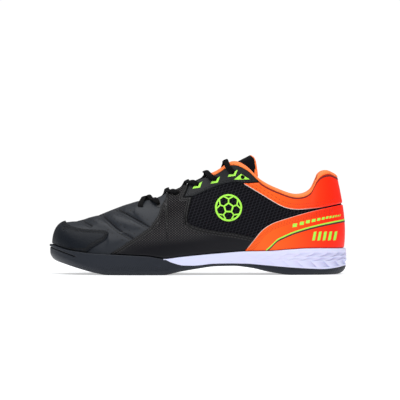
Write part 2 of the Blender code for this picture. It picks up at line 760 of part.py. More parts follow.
def overlay(name, material_name, outline, y_from, y_to, punched=False):
    """A thin piece cut between two larger forms of the upper's own function."""
    body = wrapped_shell(name, material_name, lambda t, v: GAP + OVERLAY, lambda t, v: GAP,
                         OVERLAY_TOP)
    boolean(body, prism(name + "_outline", outline, y_from, y_to), "INTERSECT")
    if punched:
        boolean(body, bpy.data.objects["eyelet_punches"], "DIFFERENCE")
    return body


def shifted(line, dx, dz):
    return [Vector((p.x + dx, p.y + dz)) for p in line]


def overlays():
    """Toe cap, side panels, eyestays, collar panel and heel counter."""
    above_rim = 1.6 * GAP
    wide = BALL_WIDTH
    cap_edge = side_outline(TOE_CAP_EDGE)
    toe_end = -0.56 * UPPER_LENGTH
    cap = cap_edge[:-1] + rim_line(cap_edge[-1].x, toe_end, above_rim)
    cap.append(Vector((toe_end, cap_edge[0].y)))
    overlay("toe_cap", "black_leather", cap, -wide, wide)

    front = side_outline(SIDE_FRONT)
    seam = 2 * GAP
    counter = side_outline(COUNTER_UPPER)
    window = side_outline(WINDOW_FRONT)
    stay_front = side_outline(EYESTAY_FRONT)
    stay_lower = side_outline(EYESTAY_LOWER)
    meet = [p for p in shifted(counter, -seam, 0) if p.y < window[-1].y]
    behind_stay = [Vector((window[0].x, stay_lower_z(stay_lower, window[0].x) - seam))]
    panel = (front[1:] + shifted(stay_front, -seam, 0)[:-1]
             + [stay_lower[0] + Vector((-seam, -seam))] + behind_stay + window[1:-1]
             + list(reversed(meet[1:]))
             + rim_line(meet[0].x, front[0].x, above_rim))
    overlay("side_panel_outer", "embossed_leather", panel, -wide, -GAP)
    overlay("side_panel_inner", "embossed_leather", panel, GAP, wide)

    tail = side_outline(EYESTAY_TAIL)
    stay = stay_front + stay_lower[1:] + tail[1:]
    overlay("eyestay_outer", "black_leather", stay, -wide, -GAP, punched=True)
    overlay("eyestay_inner", "black_leather", stay, GAP, wide, punched=True)

    collar = side_outline(COLLAR_LOWER)
    back = 0.56 * UPPER_LENGTH
    beside_stay = [p for p in shifted(stay_lower, 0, -seam) if p.x > collar[0].x]
    beside_tail = shifted(tail, seam, 0)[1:]
    collar_outline = ([p for p in collar if p.x > collar[0].x] + [Vector((back, collar[-1].y))]
                      + [Vector((back, beside_tail[-1].y))] + list(reversed(beside_tail))
                      + list(reversed(beside_stay)))
    overlay("collar_panel", "orange_synthetic", collar_outline, -wide, wide)

    heel = (counter[1:] + [Vector((back, counter[-1].y))]
            + rim_line(back, counter[0].x, above_rim))
    overlay("heel_counter", "orange_synthetic", heel, -wide, wide)


def stay_lower_z(line, x):
    """Height of the eyestay's lower edge at x."""
    for a, b in zip(line, line[1:]):
        if a.x <= x <= b.x:
            return a.y + (b.y - a.y) * (x - a.x) / (b.x - a.x)
    return line[0].y


def binding():
    """Padded edge that covers the rim of collar and upper throat."""
    grid = Lattice()
    stations = [t for t in lattice_stations() if t <= BINDING_END_STATION]
    arc_steps = 5
    last = arc_steps + 1

    def section(t, side):
        outer_edge = offset_point(t, side, 1, 0)
        inner_edge = offset_point(t, side, 1, -wall_thickness(t, 1))
        up = (upper_point(t, side, 1) - upper_point(t, side, 0.97)).normalized()
        across = (inner_edge - outer_edge).normalized()
        start = outer_edge - across * BINDING_OVERHANG + up * GAP
        end = inner_edge + up * GAP
        middle, half = (start + end) / 2, (end - start) / 2
        points = [outer_edge + up * GAP]
        for i in range(arc_steps + 1):
            angle = math.pi * i / arc_steps
            points.append(middle - half * math.cos(angle) + up * BINDING_RISE * math.sin(angle))
        return points

    def vert(t, side, k):
        shared = side_key(t, side)
        return grid.vert((t, shared, k), section(t, shared)[k])

    for side in (OUTER, INNER):
        for a, b in zip(stations, stations[1:]):
            for k in range(last):
                grid.face(vert(a, side, k), vert(b, side, k), vert(b, side, k + 1),
                          vert(a, side, k + 1))
            grid.face(vert(a, side, 0), vert(b, side, 0), vert(b, side, last),
                      vert(a, side, last))
        end = stations[-1]
        for k in range(1, last):
            grid.face(vert(end, side, 0), vert(end, side, k), vert(end, side, k + 1))
    return grid.object("collar_binding", "orange_lining")


TONGUE_ROWS = [17, 16, 15, 14, 13, 12, 11, 10, 9]
TONGUE_LIFTS = (0.25, 0.5, 0.75, 1.0)
TONGUE_ACROSS = [-1.0, -0.84, -0.68, -0.5, -0.25, 0.0, 0.25, 0.5, 0.68, 0.84, 1.0]
TONGUE_EDGE = 0.68


def tongue_outer(t, across):
    """The tongue's outer surface at a station of the throat, across from -1 to 1."""
    side = OUTER if across < 0 else INNER
    under = 1 - 1 / ROWS
    edge = TONGUE_EDGE if t < THROAT_STATION else 0
    beyond = (abs(across) - edge) / (1 - edge)
    clear = -wall_thickness(t, 1) - TONGUE_CLEARANCE
    if beyond >= 0:
        tucked = offset_point(t, side, under, -wall_thickness(t, under) - TONGUE_CLEARANCE)
        return offset_point(t, side, 1, clear).lerp(tucked, beyond)
    left, right = offset_point(t, OUTER, 0.999, clear), offset_point(t, INNER, 0.999, clear)
    rise_left = left - offset_point(t, OUTER, 0.9, clear)
    rise_right = right - offset_point(t, INNER, 0.9, clear)
    span = (right - left).length
    tangent_left = rise_left.normalized() * span * TONGUE_CROWN
    tangent_right = -rise_right.normalized() * span * TONGUE_CROWN
    f = (across + TONGUE_EDGE) / (2 * TONGUE_EDGE)
    return (left * (1 + 2 * f) * (1 - f) ** 2 + right * f * f * (3 - 2 * f)
            + tangent_left * f * (1 - f) ** 2 - tangent_right * f * f * (1 - f))


def tongue_line(row, across):
    """Tongue rows: the throat stations, then the free end above the collar."""
    if row < len(TONGUE_ROWS):
        return tongue_outer(TONGUE_ROWS[row], across)
    lift = TONGUE_LIFTS[row - len(TONGUE_ROWS)]
    last = TONGUE_ROWS[-1]
    base = tongue_outer(last, across)
    slope = (tongue_outer(last, 0) - tongue_outer(last + 1.6, 0)).normalized()
    middle = tongue_outer(last, 0)
    narrowed = Vector((base.x, middle.y + (base.y - middle.y) * (1 - TONGUE_NARROWING * lift),
                       base.z))
    bend = across * across * lift
    return (narrowed + slope * TONGUE_RISE * lift
            + Vector((TONGUE_SWEEP * bend, 0, -TONGUE_DROP * bend * bend)))


def tongue():
    """Padded tongue under the eyestays, with its free end above the collar."""
    grid = Lattice()
    rows = len(TONGUE_ROWS) + len(TONGUE_LIFTS)
    last = len(TONGUE_ACROSS) - 1

    def vert(layer, row, k):
        place = tongue_line(row, TONGUE_ACROSS[k])
        if layer == "in":
            low, high = max(row - 1, 0), min(row + 1, rows - 1)
            left, right = max(k - 1, 0), min(k + 1, last)
            along = tongue_line(high, TONGUE_ACROSS[k]) - tongue_line(low, TONGUE_ACROSS[k])
            over = tongue_line(row, TONGUE_ACROSS[right]) - tongue_line(row, TONGUE_ACROSS[left])
            place = place - along.cross(over).normalized() * TONGUE_WALL * thin(k)
        return grid.vert((layer, row, k), place)

    def thin(k):
        return 0.45 if k in (0, last) else 1.0

    for row in range(rows - 1):
        for k in range(last):
            for layer in ("out", "in"):
                grid.face(vert(layer, row, k), vert(layer, row + 1, k),
                          vert(layer, row + 1, k + 1), vert(layer, row, k + 1))
        for k in (0, last):
            grid.face(vert("out", row, k), vert("out", row + 1, k), vert("in", row + 1, k),
                      vert("in", row, k))
    for row in (0, rows - 1):
        for k in range(last):
            grid.face(vert("out", row, k), vert("out", row, k + 1), vert("in", row, k + 1),
                      vert("in", row, k))
    return grid.object("tongue", "black_textile")


def lace_height():
    return GAP + LACE_THICKNESS / 2


def over_stay(k, side, share):
    """Point and normal of the lace above the eyestay, from the eyelet (0) to the edge (1)."""
    t, v = eyelet_share(k, side)
    v_here = v + (1 - v) * share
    lift = GAP + OVERLAY + lace_height() + LACE_SLACK * share
    if t < BOUND_EYELETS:
        lift += BINDING_OVERHANG * share
    return offset_point(t, side, v_here, lift), upper_normal(t, side, v_here)


def over_edge(k, side):
    """Point and normal of the lace above the middle of the throat's edge."""
    t = eyelet_share(k, side)[0]
    normal = upper_normal(t, side, 1)
    up = (upper_point(t, side, 1) - upper_point(t, side, 0.97)).normalized()
    rise, across = lace_height() + LACE_SLACK, lace_height() - wall_thickness(t, 1) / 2
    if t < BOUND_EYELETS:
        rise += BINDING_RISE + GAP
        across += BINDING_OVERHANG
    return upper_point(t, side, 1) + up * rise + normal * across, (normal + up).normalized()


def over_tongue(t, across, lift):
    """Point and normal of the lace above the tongue."""
    step = 0.12
    here = tongue_outer(t, across)
    along = tongue_outer(t - 0.2, across) - tongue_outer(t + 0.2, across)
    over = tongue_outer(t, across + step) - tongue_outer(t, across - step)
    normal = along.cross(over).normalized()
    if normal.z < 0:
        normal = -normal
    return here + normal * (lace_height() + lift), normal


def middle_station(k):
    """Station halfway between the two eyelets of a pair."""
    return (eyelet_share(k, OUTER)[0] + eyelet_share(k, INNER)[0]) / 2


def lace_strand(points, name):
    """A flat lace swept along points with normals, with rounded flat ends."""
    bm = bmesh.new()
    sides = 6
    steps = 8
    places = [p for p, _ in points]
    normals = [n for _, n in points]
    rings = []
    for i in range(steps + 1):
        t = i * (len(points) - 1) / steps
        centre = smooth(places, t)
        ahead = smooth(places, min(t + 0.05, len(points) - 1)) - smooth(places, max(t - 0.05, 0))
        normal = smooth(normals, t).normalized()
        across = ahead.cross(normal).normalized()
        normal = across.cross(ahead).normalized()
        ring = []
        for k in range(sides):
            angle = 2 * math.pi * (k + 0.5) / sides
            flat = math.copysign(abs(math.sin(angle)) ** 0.6, math.sin(angle))
            ring.append(bm.verts.new(centre + across * math.cos(angle) * LACE_WIDTH / 2
                                     + normal * flat * LACE_THICKNESS / 2))
        rings.append(ring)
    for a, b in zip(rings, rings[1:]):
        for k in range(sides):
            n = (k + 1) % sides
            bm.faces.new((a[k], a[n], b[n], b[k]))
    bm.faces.new(rings[0])
    bm.faces.new(rings[-1])
    bmesh.ops.recalc_face_normals(bm, faces=bm.faces)
    mesh = bpy.data.meshes.new(name)
    bm.to_mesh(mesh)
    bm.free()
    mesh.materials.append(material("lace_weave"))
    obj = bpy.data.objects.new(name, mesh)
    bpy.context.scene.collection.objects.link(obj)
    return obj


def laces():
    """The bar at the front eyelets, and the crossings up to the last laced pair."""
    across_start = 0.3
    bar = [over_stay(0, OUTER, 0), over_stay(0, OUTER, 0.7)]
    for across in (-0.3, 0.3):
        bar.append(over_tongue(middle_station(0), across, OVERLAY + UPPER_WALL))
    bar += [over_stay(0, INNER, 0.7), over_stay(0, INNER, 0)]
    lace_strand(bar, "lace_bar")
    for k in range(1, LACED_EYELETS):
        strands = []
        for side in (OUTER, INNER):
            from_t, to_t = middle_station(k - 1), middle_station(k)
            path = []
            for across, share in ((-across_start, 0.22), (0, 0.5)):
                t = from_t + (to_t - from_t) * share
                path.append(over_tongue(t, across * side, LACE_THICKNESS * (0.9 + share)))
            path += [over_edge(k, side), over_stay(k, side, 0.55), over_stay(k, side, 0)]
            name = f"lace_cross_{k}" if side == OUTER else f"lace_cross_{k}_over"
            strands.append(lace_strand(path, name))
        base, other = strands
        boolean(base, other, "UNION")
        other.hide_render = True
        other.display_type = "WIRE"


def main():
    clear_scene()
    eyelet_punches()
    outsole()
    midsole()
    insole()
    upper()
    overlays()
    binding()
    tongue()
    laces()


main()
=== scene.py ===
"""Looks of the indoor soccer shoe: fine surfaces over the CAD solids, materials, light, camera.

Metres, in the row's frame: toe to -X, heel to +X, outer side to -Y, floor at z = 0. A place on
the upper is (s, v): s counts stations from the back of the heel round the outer side to the
toe (22) and back along the inner side (44), and v runs from the sole (0) to the edge (1).
"""

import math

import bmesh
import bpy
import numpy as np
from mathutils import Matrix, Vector


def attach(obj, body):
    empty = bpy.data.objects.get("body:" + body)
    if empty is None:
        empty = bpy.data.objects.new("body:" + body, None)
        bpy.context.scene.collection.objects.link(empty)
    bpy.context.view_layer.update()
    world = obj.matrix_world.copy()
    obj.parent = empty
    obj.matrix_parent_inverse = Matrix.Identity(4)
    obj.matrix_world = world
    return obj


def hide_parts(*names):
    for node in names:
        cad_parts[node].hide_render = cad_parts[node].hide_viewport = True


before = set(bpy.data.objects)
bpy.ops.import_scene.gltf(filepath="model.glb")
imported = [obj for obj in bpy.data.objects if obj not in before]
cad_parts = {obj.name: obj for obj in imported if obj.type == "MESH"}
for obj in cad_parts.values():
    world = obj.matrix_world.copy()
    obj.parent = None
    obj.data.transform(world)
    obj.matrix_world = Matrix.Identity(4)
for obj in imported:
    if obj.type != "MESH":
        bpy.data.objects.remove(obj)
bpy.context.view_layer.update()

# Outsole: one moulding of black rubber, turned up into a cup wall round the forefoot and
# cemented under the foam, with a slit and a raised band round the toe. Its side wall keeps a
# set distance from the upper, so the upper's surface and the sole's profiles stand here.
MM = 0.001
LENGTH, BALL_WIDTH = 285 * MM, 94 * MM
HEEL_HEIGHT, ANKLE_HEIGHT, INSTEP_HEIGHT, TOE_HEIGHT = 99.7 * MM, 76.4 * MM, 108.8 * MM, 51.3 * MM
SOLE_HEIGHT, GAP, RIM_WALL = 26 * MM, 0.3 * MM, 2.8 * MM
HEIGHTS = {"heel": HEEL_HEIGHT, "ankle": ANKLE_HEIGHT, "instep": INSTEP_HEIGHT, "toe": TOE_HEIGHT}
COLUMNS = "foot_x foot_outer foot_inner top_x mid_y top_half of top_z belly reach rise drop".split()
STATIONS = [
    (0.497, -0.023, 0.023, 0.477, 0.023, 0.000, "heel", 0.963, 0.053, 0.064, 0.35, 0.35),
    (0.488, 0.127, 0.168, 0.468, 0.023, 0.100, "heel", 0.978, 0.053, 0.064, 0.35, 0.35),
    (0.449, 0.267, 0.300, 0.444, 0.023, 0.200, "heel", 1.000, 0.050, 0.060, 0.35, 0.35),
    (0.393, 0.328, 0.358, 0.415, 0.023, 0.256, "heel", 0.957, 0.046, 0.058, 0.35, 0.35),
    (0.333, 0.343, 0.365, 0.386, 0.023, 0.280, "ankle", 1.056, 0.042, 0.060, 0.35, 0.35),
    (0.274, 0.344, 0.355, 0.339, 0.023, 0.290, "ankle", 1.000, 0.040, 0.064, 0.34, 0.35),
    (0.214, 0.348, 0.341, 0.279, 0.018, 0.296, "ankle", 1.066, 0.040, 0.068, 0.34, 0.34),
    (0.154, 0.360, 0.323, 0.218, 0.013, 0.290, "ankle", 1.182, 0.038, 0.080, 0.36, 0.33),
    (0.091, 0.381, 0.307, 0.166, 0.008, 0.262, "instep", 0.957, 0.034, 0.100, 0.38, 0.32),
    (0.028, 0.407, 0.313, 0.118, 0.001, 0.215, "instep", 0.998, 0.030, 0.125, 0.40, 0.28),
    (-0.035, 0.437, 0.342, 0.060, -0.003, 0.165, "instep", 0.908, 0.026, 0.150, 0.42, 0.22),
    (-0.095, 0.466, 0.395, -0.014, -0.003, 0.138, "instep", 0.840, 0.022, 0.172, 0.45, 0.19),
    (-0.151, 0.490, 0.445, -0.091, -0.001, 0.120, "instep", 0.749, 0.020, 0.190, 0.48, 0.16),
    (-0.200, 0.500, 0.480, -0.161, 0.003, 0.100, "instep", 0.669, 0.018, 0.205, 0.52, 0.13),
    (-0.232, 0.496, 0.495, -0.207, 0.007, 0.070, "toe", 1.350, 0.018, 0.215, 0.55, 0.08),
    (-0.263, 0.487, 0.501, -0.232, 0.013, 0.000, "toe", 1.308, 0.018, 0.235, 0.58, 0.00),
    (-0.309, 0.461, 0.491, -0.281, 0.023, 0.000, "toe", 1.228, 0.018, 0.230, 0.60, 0.00),
    (-0.353, 0.422, 0.466, -0.326, 0.035, 0.000, "toe", 1.150, 0.018, 0.215, 0.62, 0.00),
    (-0.393, 0.366, 0.430, -0.368, 0.047, 0.000, "toe", 1.082, 0.017, 0.190, 0.63, 0.00),
    (-0.430, 0.288, 0.376, -0.404, 0.057, 0.000, "toe", 1.040, 0.016, 0.160, 0.64, 0.00),
    (-0.461, 0.193, 0.310, -0.430, 0.065, 0.000, "toe", 1.020, 0.014, 0.130, 0.64, 0.00),
    (-0.486, 0.078, 0.222, -0.446, 0.071, 0.000, "toe", 1.008, 0.012, 0.100, 0.64, 0.00),
    (-0.500, -0.076, 0.076, -0.456, 0.076, 0.000, "toe", 1.000, 0.010, 0.080, 0.63, 0.00),
]
TABLE = {name: [row[k] for row in STATIONS] for k, name in enumerate(COLUMNS)}
LAST = len(STATIONS) - 1
LOOP = 2 * LAST
THROAT = 15
BOTTOM = [(-0.52, 0.59), (-0.46, 0.40), (-0.41, 0.24), (-0.35, 0.075), (-0.305, 0), (-0.12, 0),
          (-0.06, 0.13), (0.0, 0.24), (0.06, 0.325), (0.12, 0.34), (0.18, 0.27), (0.25, 0.10),
          (0.32, 0), (0.52, 0)]
BED = [(-0.52, 1.04), (-0.46, 0.85), (-0.39, 0.60), (-0.32, 0.45), (-0.25, 0.40), (-0.17, 0.385),
       (-0.08, 0.42), (0.0, 0.50), (0.10, 0.59), (0.21, 0.66), (0.32, 0.71), (0.52, 0.71)]
RIM = [(-0.52, 1.21), (-0.48, 1.06), (-0.44, 0.93), (-0.40, 0.86), (-0.35, 0.80), (-0.25, 0.75),
       (-0.17, 0.70), (-0.116, 0.61), (-0.06, 0.68), (0.013, 0.76), (0.09, 0.83), (0.16, 0.885),
       (0.24, 0.90), (0.31, 0.955), (0.39, 1.0), (0.52, 0.985)]
WALL = [(-0.116, 0.61), (-0.087, 0.465), (-0.052, 0.37), (-0.016, 0.362), (0.051, 0.43),
        (0.107, 0.442), (0.163, 0.43), (0.24, 0.36), (0.313, 0.29), (0.388, 0.24), (0.425, 0.225),
        (0.463, 0.265), (0.52, 0.42)]
CORNER_IN = [(-0.52, 0.30), (-0.42, 0.26), (-0.30, 0.19), (0.30, 0.19), (0.42, 0.26), (0.52, 0.46)]
CORNER_UP = [(-0.52, 0.30), (-0.42, 0.24), (-0.30, 0.20), (-0.05, 0.16), (0.10, 0.08), (0.22, 0.12),
             (0.38, 0.20), (0.52, 0.36)]
FLEX_GROOVES = (-0.290, -0.245, -0.200, -0.155, 0.350, 0.400)

FOOT_X = LENGTH * np.array(TABLE["foot_x"])
FOOT_Y = (-BALL_WIDTH * np.array(TABLE["foot_outer"]), BALL_WIDTH * np.array(TABLE["foot_inner"]))
TOP_X = LENGTH * np.array(TABLE["top_x"])
TOP_Z = np.array([HEIGHTS[of] * z for of, z in zip(TABLE["of"], TABLE["top_z"])])
MID_Y = BALL_WIDTH * np.array(TABLE["mid_y"])
TOP_HALF = BALL_WIDTH * np.array(TABLE["top_half"])


def spline(a, b, c, d, f):
    """Catmull-Rom curve from b to c."""
    return 0.5 * (2 * b + f * (c - a) + f * f * (2 * a - 5 * b + 4 * c - d)
                  + f ** 3 * (3 * b - a - 3 * c + d))


def smooth(values, t):
    values = np.asarray(values, float)
    i = np.clip(np.floor(t).astype(int), 0, len(values) - 2)
    ends = np.concatenate([[2 * values[0] - values[1]], values, [2 * values[-1] - values[-2]]])
    return spline(ends[i], ends[i + 1], ends[i + 2], ends[i + 3], t - i)


def around(outer, inner, s):
    """A value that runs round the whole loop, outer side first."""
    loop = np.concatenate([outer, inner[-2:0:-1]])
    i = np.floor(s).astype(int)
    return spline(*(loop[(i + k) % LOOP] for k in (-1, 0, 1, 2)), s - i)


def profile(points, x):
    """Side profile at x, a share of the length, with no overshoot between points."""
    xs, ys = np.array(points, float).T
    x = np.clip(x, xs[0], xs[-1])
    slopes = np.diff(ys) / np.diff(xs)
    product = slopes[:-1] * slopes[1:]
    total = np.where(product > 0, slopes[:-1] + slopes[1:], 1)
    inner = np.where(product > 0, 2 * product / total, 0)
    tangent = np.concatenate([slopes[:1], inner, slopes[-1:]])
    i = np.clip(np.searchsorted(xs, x, side="right") - 1, 0, len(xs) - 2)
    step = xs[i + 1] - xs[i]
    f = (x - xs[i]) / step
    return (ys[i] * (1 + 2 * f) * (1 - f) ** 2 + ys[i + 1] * f * f * (3 - 2 * f)
            + step * (tangent[i] * f * (1 - f) ** 2 - tangent[i + 1] * f * f * (1 - f)))


def sole_z(points, x):
    return SOLE_HEIGHT * profile(points, x / LENGTH)


def wall_top(x):
    return np.where(x / LENGTH < WALL[0][0], sole_z(RIM, x), sole_z(WALL, x))


def station(s):
    return LAST - np.abs(LAST - np.mod(s, LOOP))


def foot(s):
    """The upper's lower edge, seen from above."""
    x, y = around(FOOT_X, FOOT_X, s), around(FOOT_Y[0], FOOT_Y[1], s)
    return np.stack([x, y, np.zeros_like(x)], -1)


def unit(vectors):
    return vectors / np.maximum(np.linalg.norm(vectors, axis=-1, keepdims=True), 1e-12)


def outward(s):
    along = foot(s + 0.05) - foot(s - 0.05)
    return unit(np.stack([-along[..., 1], along[..., 0], np.zeros_like(s)], -1))


def controls(s):
    """The four control points of the upper's line at s."""
    s = np.asarray(s, float)
    t = station(s)
    sign = np.where(np.mod(s, LOOP) <= LAST, -1.0, 1.0)
    low = foot(s)
    low[..., 2] = sole_z(BED, low[..., 0]) + GAP
    half = np.where(t >= THROAT, 0, np.maximum(smooth(TOP_HALF, t), 0))
    top = np.stack([around(TOP_X, TOP_X, s), smooth(MID_Y, t) + sign * half,
                    around(TOP_Z, TOP_Z, s)], -1)
    ahead, behind = np.minimum(t + 0.25, LAST), t - 0.25
    run = around(TOP_X, TOP_X, ahead) - around(TOP_X, TOP_X, behind)
    climb = around(TOP_Z, TOP_Z, ahead) - around(TOP_Z, TOP_Z, behind)
    slope = np.where(t > THROAT - 1, climb / np.where(run == 0, 1, run), 0)
    height = top[..., 2] - low[..., 2]
    handle = {k: smooth(TABLE[k], t) for k in ("belly", "reach", "rise", "drop")}
    away = outward(s) * BALL_WIDTH
    first = low + away * handle["belly"][..., None]
    first[..., 2] += handle["rise"] * height
    reach = away * handle["reach"][..., None]
    second = top + reach
    second[..., 2] += reach[..., 0] * slope - handle["drop"] * height
    return low, first, second, top


def bezier(points, v):
    a, b, c, d = points
    v = np.asarray(v, float)[..., None]
    u = 1 - v
    return u ** 3 * a + 3 * u * u * v * b + 3 * u * v * v * c + v ** 3 * d


def skin(s, v):
    """The upper's outer surface."""
    return bezier(controls(s), v)


def solve_v(s, wanted, high=1.0):
    """The share v at which the upper's line at s passes the height that wanted(x) gives."""
    points = controls(s)
    low, high = np.zeros(np.shape(s)), np.full(np.shape(s), high)
    for _ in range(22):
        middle = (low + high) / 2
        place = bezier(points, middle)
        below = place[..., 2] < wanted(place[..., 0])
        low, high = np.where(below, middle, low), np.where(below, high, middle)
    return (low + high) / 2


def edge_point(s, z, distance):
    """A point at height z, a level distance outside the upper or its lower edge."""
    floor = sole_z(BED, foot(s)[..., 0]) + GAP
    v = np.where(z <= floor, 0, solve_v(s, lambda x: z, 0.6))
    place = skin(s, v) + outward(s) * np.asarray(distance)[..., None]
    place[..., 2] = z
    return place


def wall_side(s, z, distance):
    """A point of the sole's side wall."""
    place = edge_point(s, sole_z(RIM, foot(s)[..., 0]), GAP + RIM_WALL + distance)
    place[..., 2] = z
    return place


def ease(low, high, value):
    t = np.clip((value - low) / (high - low), 0, 1)
    return t * t * (3 - 2 * t)


def add_object(name, points, faces, materials, merge=True, **attributes):
    """A mesh object at the origin, smooth shaded, with one value a point for each attribute."""
    mesh = bpy.data.meshes.new(name)
    mesh.from_pydata(np.asarray(points, float).reshape(-1, 3).tolist(), [], faces)
    for key, values in attributes.items():
        layer = mesh.attributes.new(key, "FLOAT", "POINT")
        layer.data.foreach_set("value", np.ascontiguousarray(values, np.float32).ravel())
    bm = bmesh.new()
    bm.from_mesh(mesh)
    if merge:
        bmesh.ops.remove_doubles(bm, verts=bm.verts, dist=1e-6)
    loose = [v for v in bm.verts if not v.link_faces]
    bmesh.ops.delete(bm, geom=loose, context="VERTS")
    bm.to_mesh(mesh)
    bm.free()
    mesh.shade_smooth()
    for made in materials:
        mesh.materials.append(made)
    obj = bpy.data.objects.new(name, mesh)
    bpy.context.scene.collection.objects.link(obj)
    return obj


def grid_faces(rows, columns, closed=False, flip=False, start=0):
    """Quads of a grid of points, row by row, closed round the columns on request."""
    span = columns if closed else columns - 1
    j, i = np.meshgrid(np.arange(rows - 1), np.arange(span), indexing="ij")
    n = (i + 1) % columns
    quads = np.stack([j * columns + i, (j + 1) * columns + i, (j + 1) * columns + n,
                      j * columns + n], -1).reshape(-1, 4) + start
    return (quads[:, ::-1] if flip else quads).tolist()


def install(obj, slot, *nodes):
    """The piece rides with the shoe and stands for CAD nodes. The slot is not used."""
    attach(obj, "root")
    if nodes:
        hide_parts(*nodes)


class Nodes:
    """Adds shader nodes to a tree that leads to one end node."""

    def __init__(self, tree, end):
        self.tree = tree
        self.end = end

    def set(self, socket, value, node=None):
        target = (node or self.end).inputs[socket]
        if isinstance(value, bpy.types.NodeSocket):
            self.tree.links.new(value, target)
        else:
            target.default_value = value

    def node(self, kind, output=0, settings=None, **inputs):
        made = self.tree.nodes.new(kind)
        for key, value in (settings or {}).items():
            setattr(made, key, value)
        for key, value in inputs.items():
            self.set(key.replace("_", " "), value, made)
        return made.outputs[output]

    def math(self, operation, a, b=0.0, c=0.0):
        made = self.tree.nodes.new("ShaderNodeMath")
        made.operation = operation
        for k, value in enumerate((a, b, c)):
            self.set(k, value, made)
        return made.outputs[0]

    def place(self):
        return self.node("ShaderNodeTexCoord", "Object")

    def ramp(self, value, low, high, to_low=0.0, to_high=1.0):
        return self.node("ShaderNodeMapRange", "Result", {"interpolation_type": "SMOOTHSTEP"},
                         Value=value, From_Min=low, From_Max=high, To_Min=to_low, To_Max=to_high)

    def near(self, value, centre, reach):
        """1 where value is at centre, 0 from reach away."""
        away = self.math("ABSOLUTE", self.math("SUBTRACT", value, centre))
        return self.ramp(away, self.math("MULTIPLY", reach, 0.55), reach, 1.0, 0.0)


class Effect(Nodes):
    """A shader node group that several finishes share, with named values in and out."""

    def __init__(self, name, inputs, outputs):
        group = bpy.data.node_groups.new(name, "ShaderNodeTree")
        for direction, sockets in (("INPUT", inputs), ("OUTPUT", outputs)):
            for socket in sockets:
                group.interface.new_socket(socket, in_out=direction,
                                           socket_type="NodeSocketFloat")
        super().__init__(group, group.nodes.new("NodeGroupOutput"))
        self.inputs = group.nodes.new("NodeGroupInput").outputs[:len(inputs)]


grain = Effect("grain", ("Scale", "Detail"), ("Height",))
grain_scale, grain_detail = grain.inputs
grain.set("Height", grain.node("ShaderNodeTexNoise", "Fac", Scale=grain_scale,
                               Detail=grain_detail, Vector=grain.place()))


class Finish(Nodes):
    """Builds one material: a Principled shader and the nodes that feed it."""

    def __init__(self, name, colour, roughness, **inputs):
        self.material = bpy.data.materials.new(name)
        self.material.use_nodes = True
        tree = self.material.node_tree
        super().__init__(tree, tree.nodes["Principled BSDF"])
        self.colour = (*colour, 1)
        self.set("Base Color", self.colour)
        self.set("Roughness", roughness)
        for key, value in inputs.items():
            self.set(key.replace("_", " "), value)

    def use(self, effect, **inputs):
        """Places a shared effect with this finish's own values, and gives its outputs."""
        made = self.tree.nodes.new("ShaderNodeGroup")
        made.node_tree = effect.tree
        for key, value in inputs.items():
            self.set(key, value, made)
        return made.outputs

    def noise(self, scale, detail=2.0):
        return self.use(grain, Scale=scale, Detail=detail)["Height"]

    def axes(self):
        """Object coordinates in millimetres."""
        split = self.tree.nodes.new("ShaderNodeSeparateXYZ")
        self.tree.links.new(self.place(), split.inputs[0])
        return [self.math("MULTIPLY", out, 1000.0) for out in split.outputs]

    def attribute(self, name):
        return self.node("ShaderNodeAttribute", "Fac", {"attribute_name": name})

    def mix(self, factor, a, b):
        made = self.tree.nodes.new("ShaderNodeMix")
        made.data_type = "RGBA"
        self.set(0, factor, made)
        self.set(6, a, made)
        self.set(7, b, made)
        return made.outputs[2]

    def bump(self, height, depth, strength=1.0):
        """Adds a bump of that depth in metres below what is there already."""
        made = self.tree.nodes.new("ShaderNodeBump")
        self.set("Height", height, made)
        self.set("Distance", depth, made)
        self.set("Strength", strength, made)
        before = self.end.inputs["Normal"].links
        if before:
            self.set("Normal", before[0].from_socket, made)
        self.set("Normal", made.outputs[0])

    def tint(self, factor, colour):
        links = self.end.inputs["Base Color"].links
        base = links[0].from_socket if links else self.colour
        self.set("Base Color", self.mix(factor, base, (*colour, 1)))


RINGS = np.linspace(0, LOOP, 12 * LOOP, endpoint=False)
ring_x = foot(RINGS)[..., 0]


def corner_ring(s, angle):
    share = foot(s)[..., 0] / LENGTH
    inward = SOLE_HEIGHT * profile(CORNER_IN, share) * (1 - math.sin(angle))
    place = wall_side(s, 0, -inward)
    place[..., 2] = (sole_z(BOTTOM, place[..., 0])
                     + SOLE_HEIGHT * profile(CORNER_UP, share) * (1 - math.cos(angle)))
    return place


def toe_slit(place):
    """1 in the slit round the toe, and the height above it in millimetres."""
    x, z = place[..., 0] / MM, place[..., 2] / MM
    above = z - 17.8 - (-119.5 - x) * 0.345
    fade = ease(-117.5, -121.5, x)
    return np.exp(-(above / 0.5) ** 2) * fade, ease(0.2, 1.0, above) * fade


def toe_groove(place):
    """Depth of the slit, and of the raised band above it."""
    slit, band = toe_slit(place)
    return (0.55 * band - 1.0 * slit) * MM


rubber = Finish("outsole_rubber", (0.007, 0.010, 0.017), 0.5, Specular_IOR_Level=0.3)
rubber_x, rubber_y, rubber_z = rubber.axes()
lower = rubber.ramp(rubber_z, 6.0, 13.0, 1.0, 0.0)
ribs = rubber.math("SINE", rubber.math("MULTIPLY", rubber.math(
    "ADD", rubber_x, rubber.math("MULTIPLY", rubber_z, 0.5)), 3.6))
rubber.bump(rubber.math("MULTIPLY", ribs, lower), 0.00018, 0.8)
rubber.bump(rubber.noise(1400.0), 0.00012, 0.5)

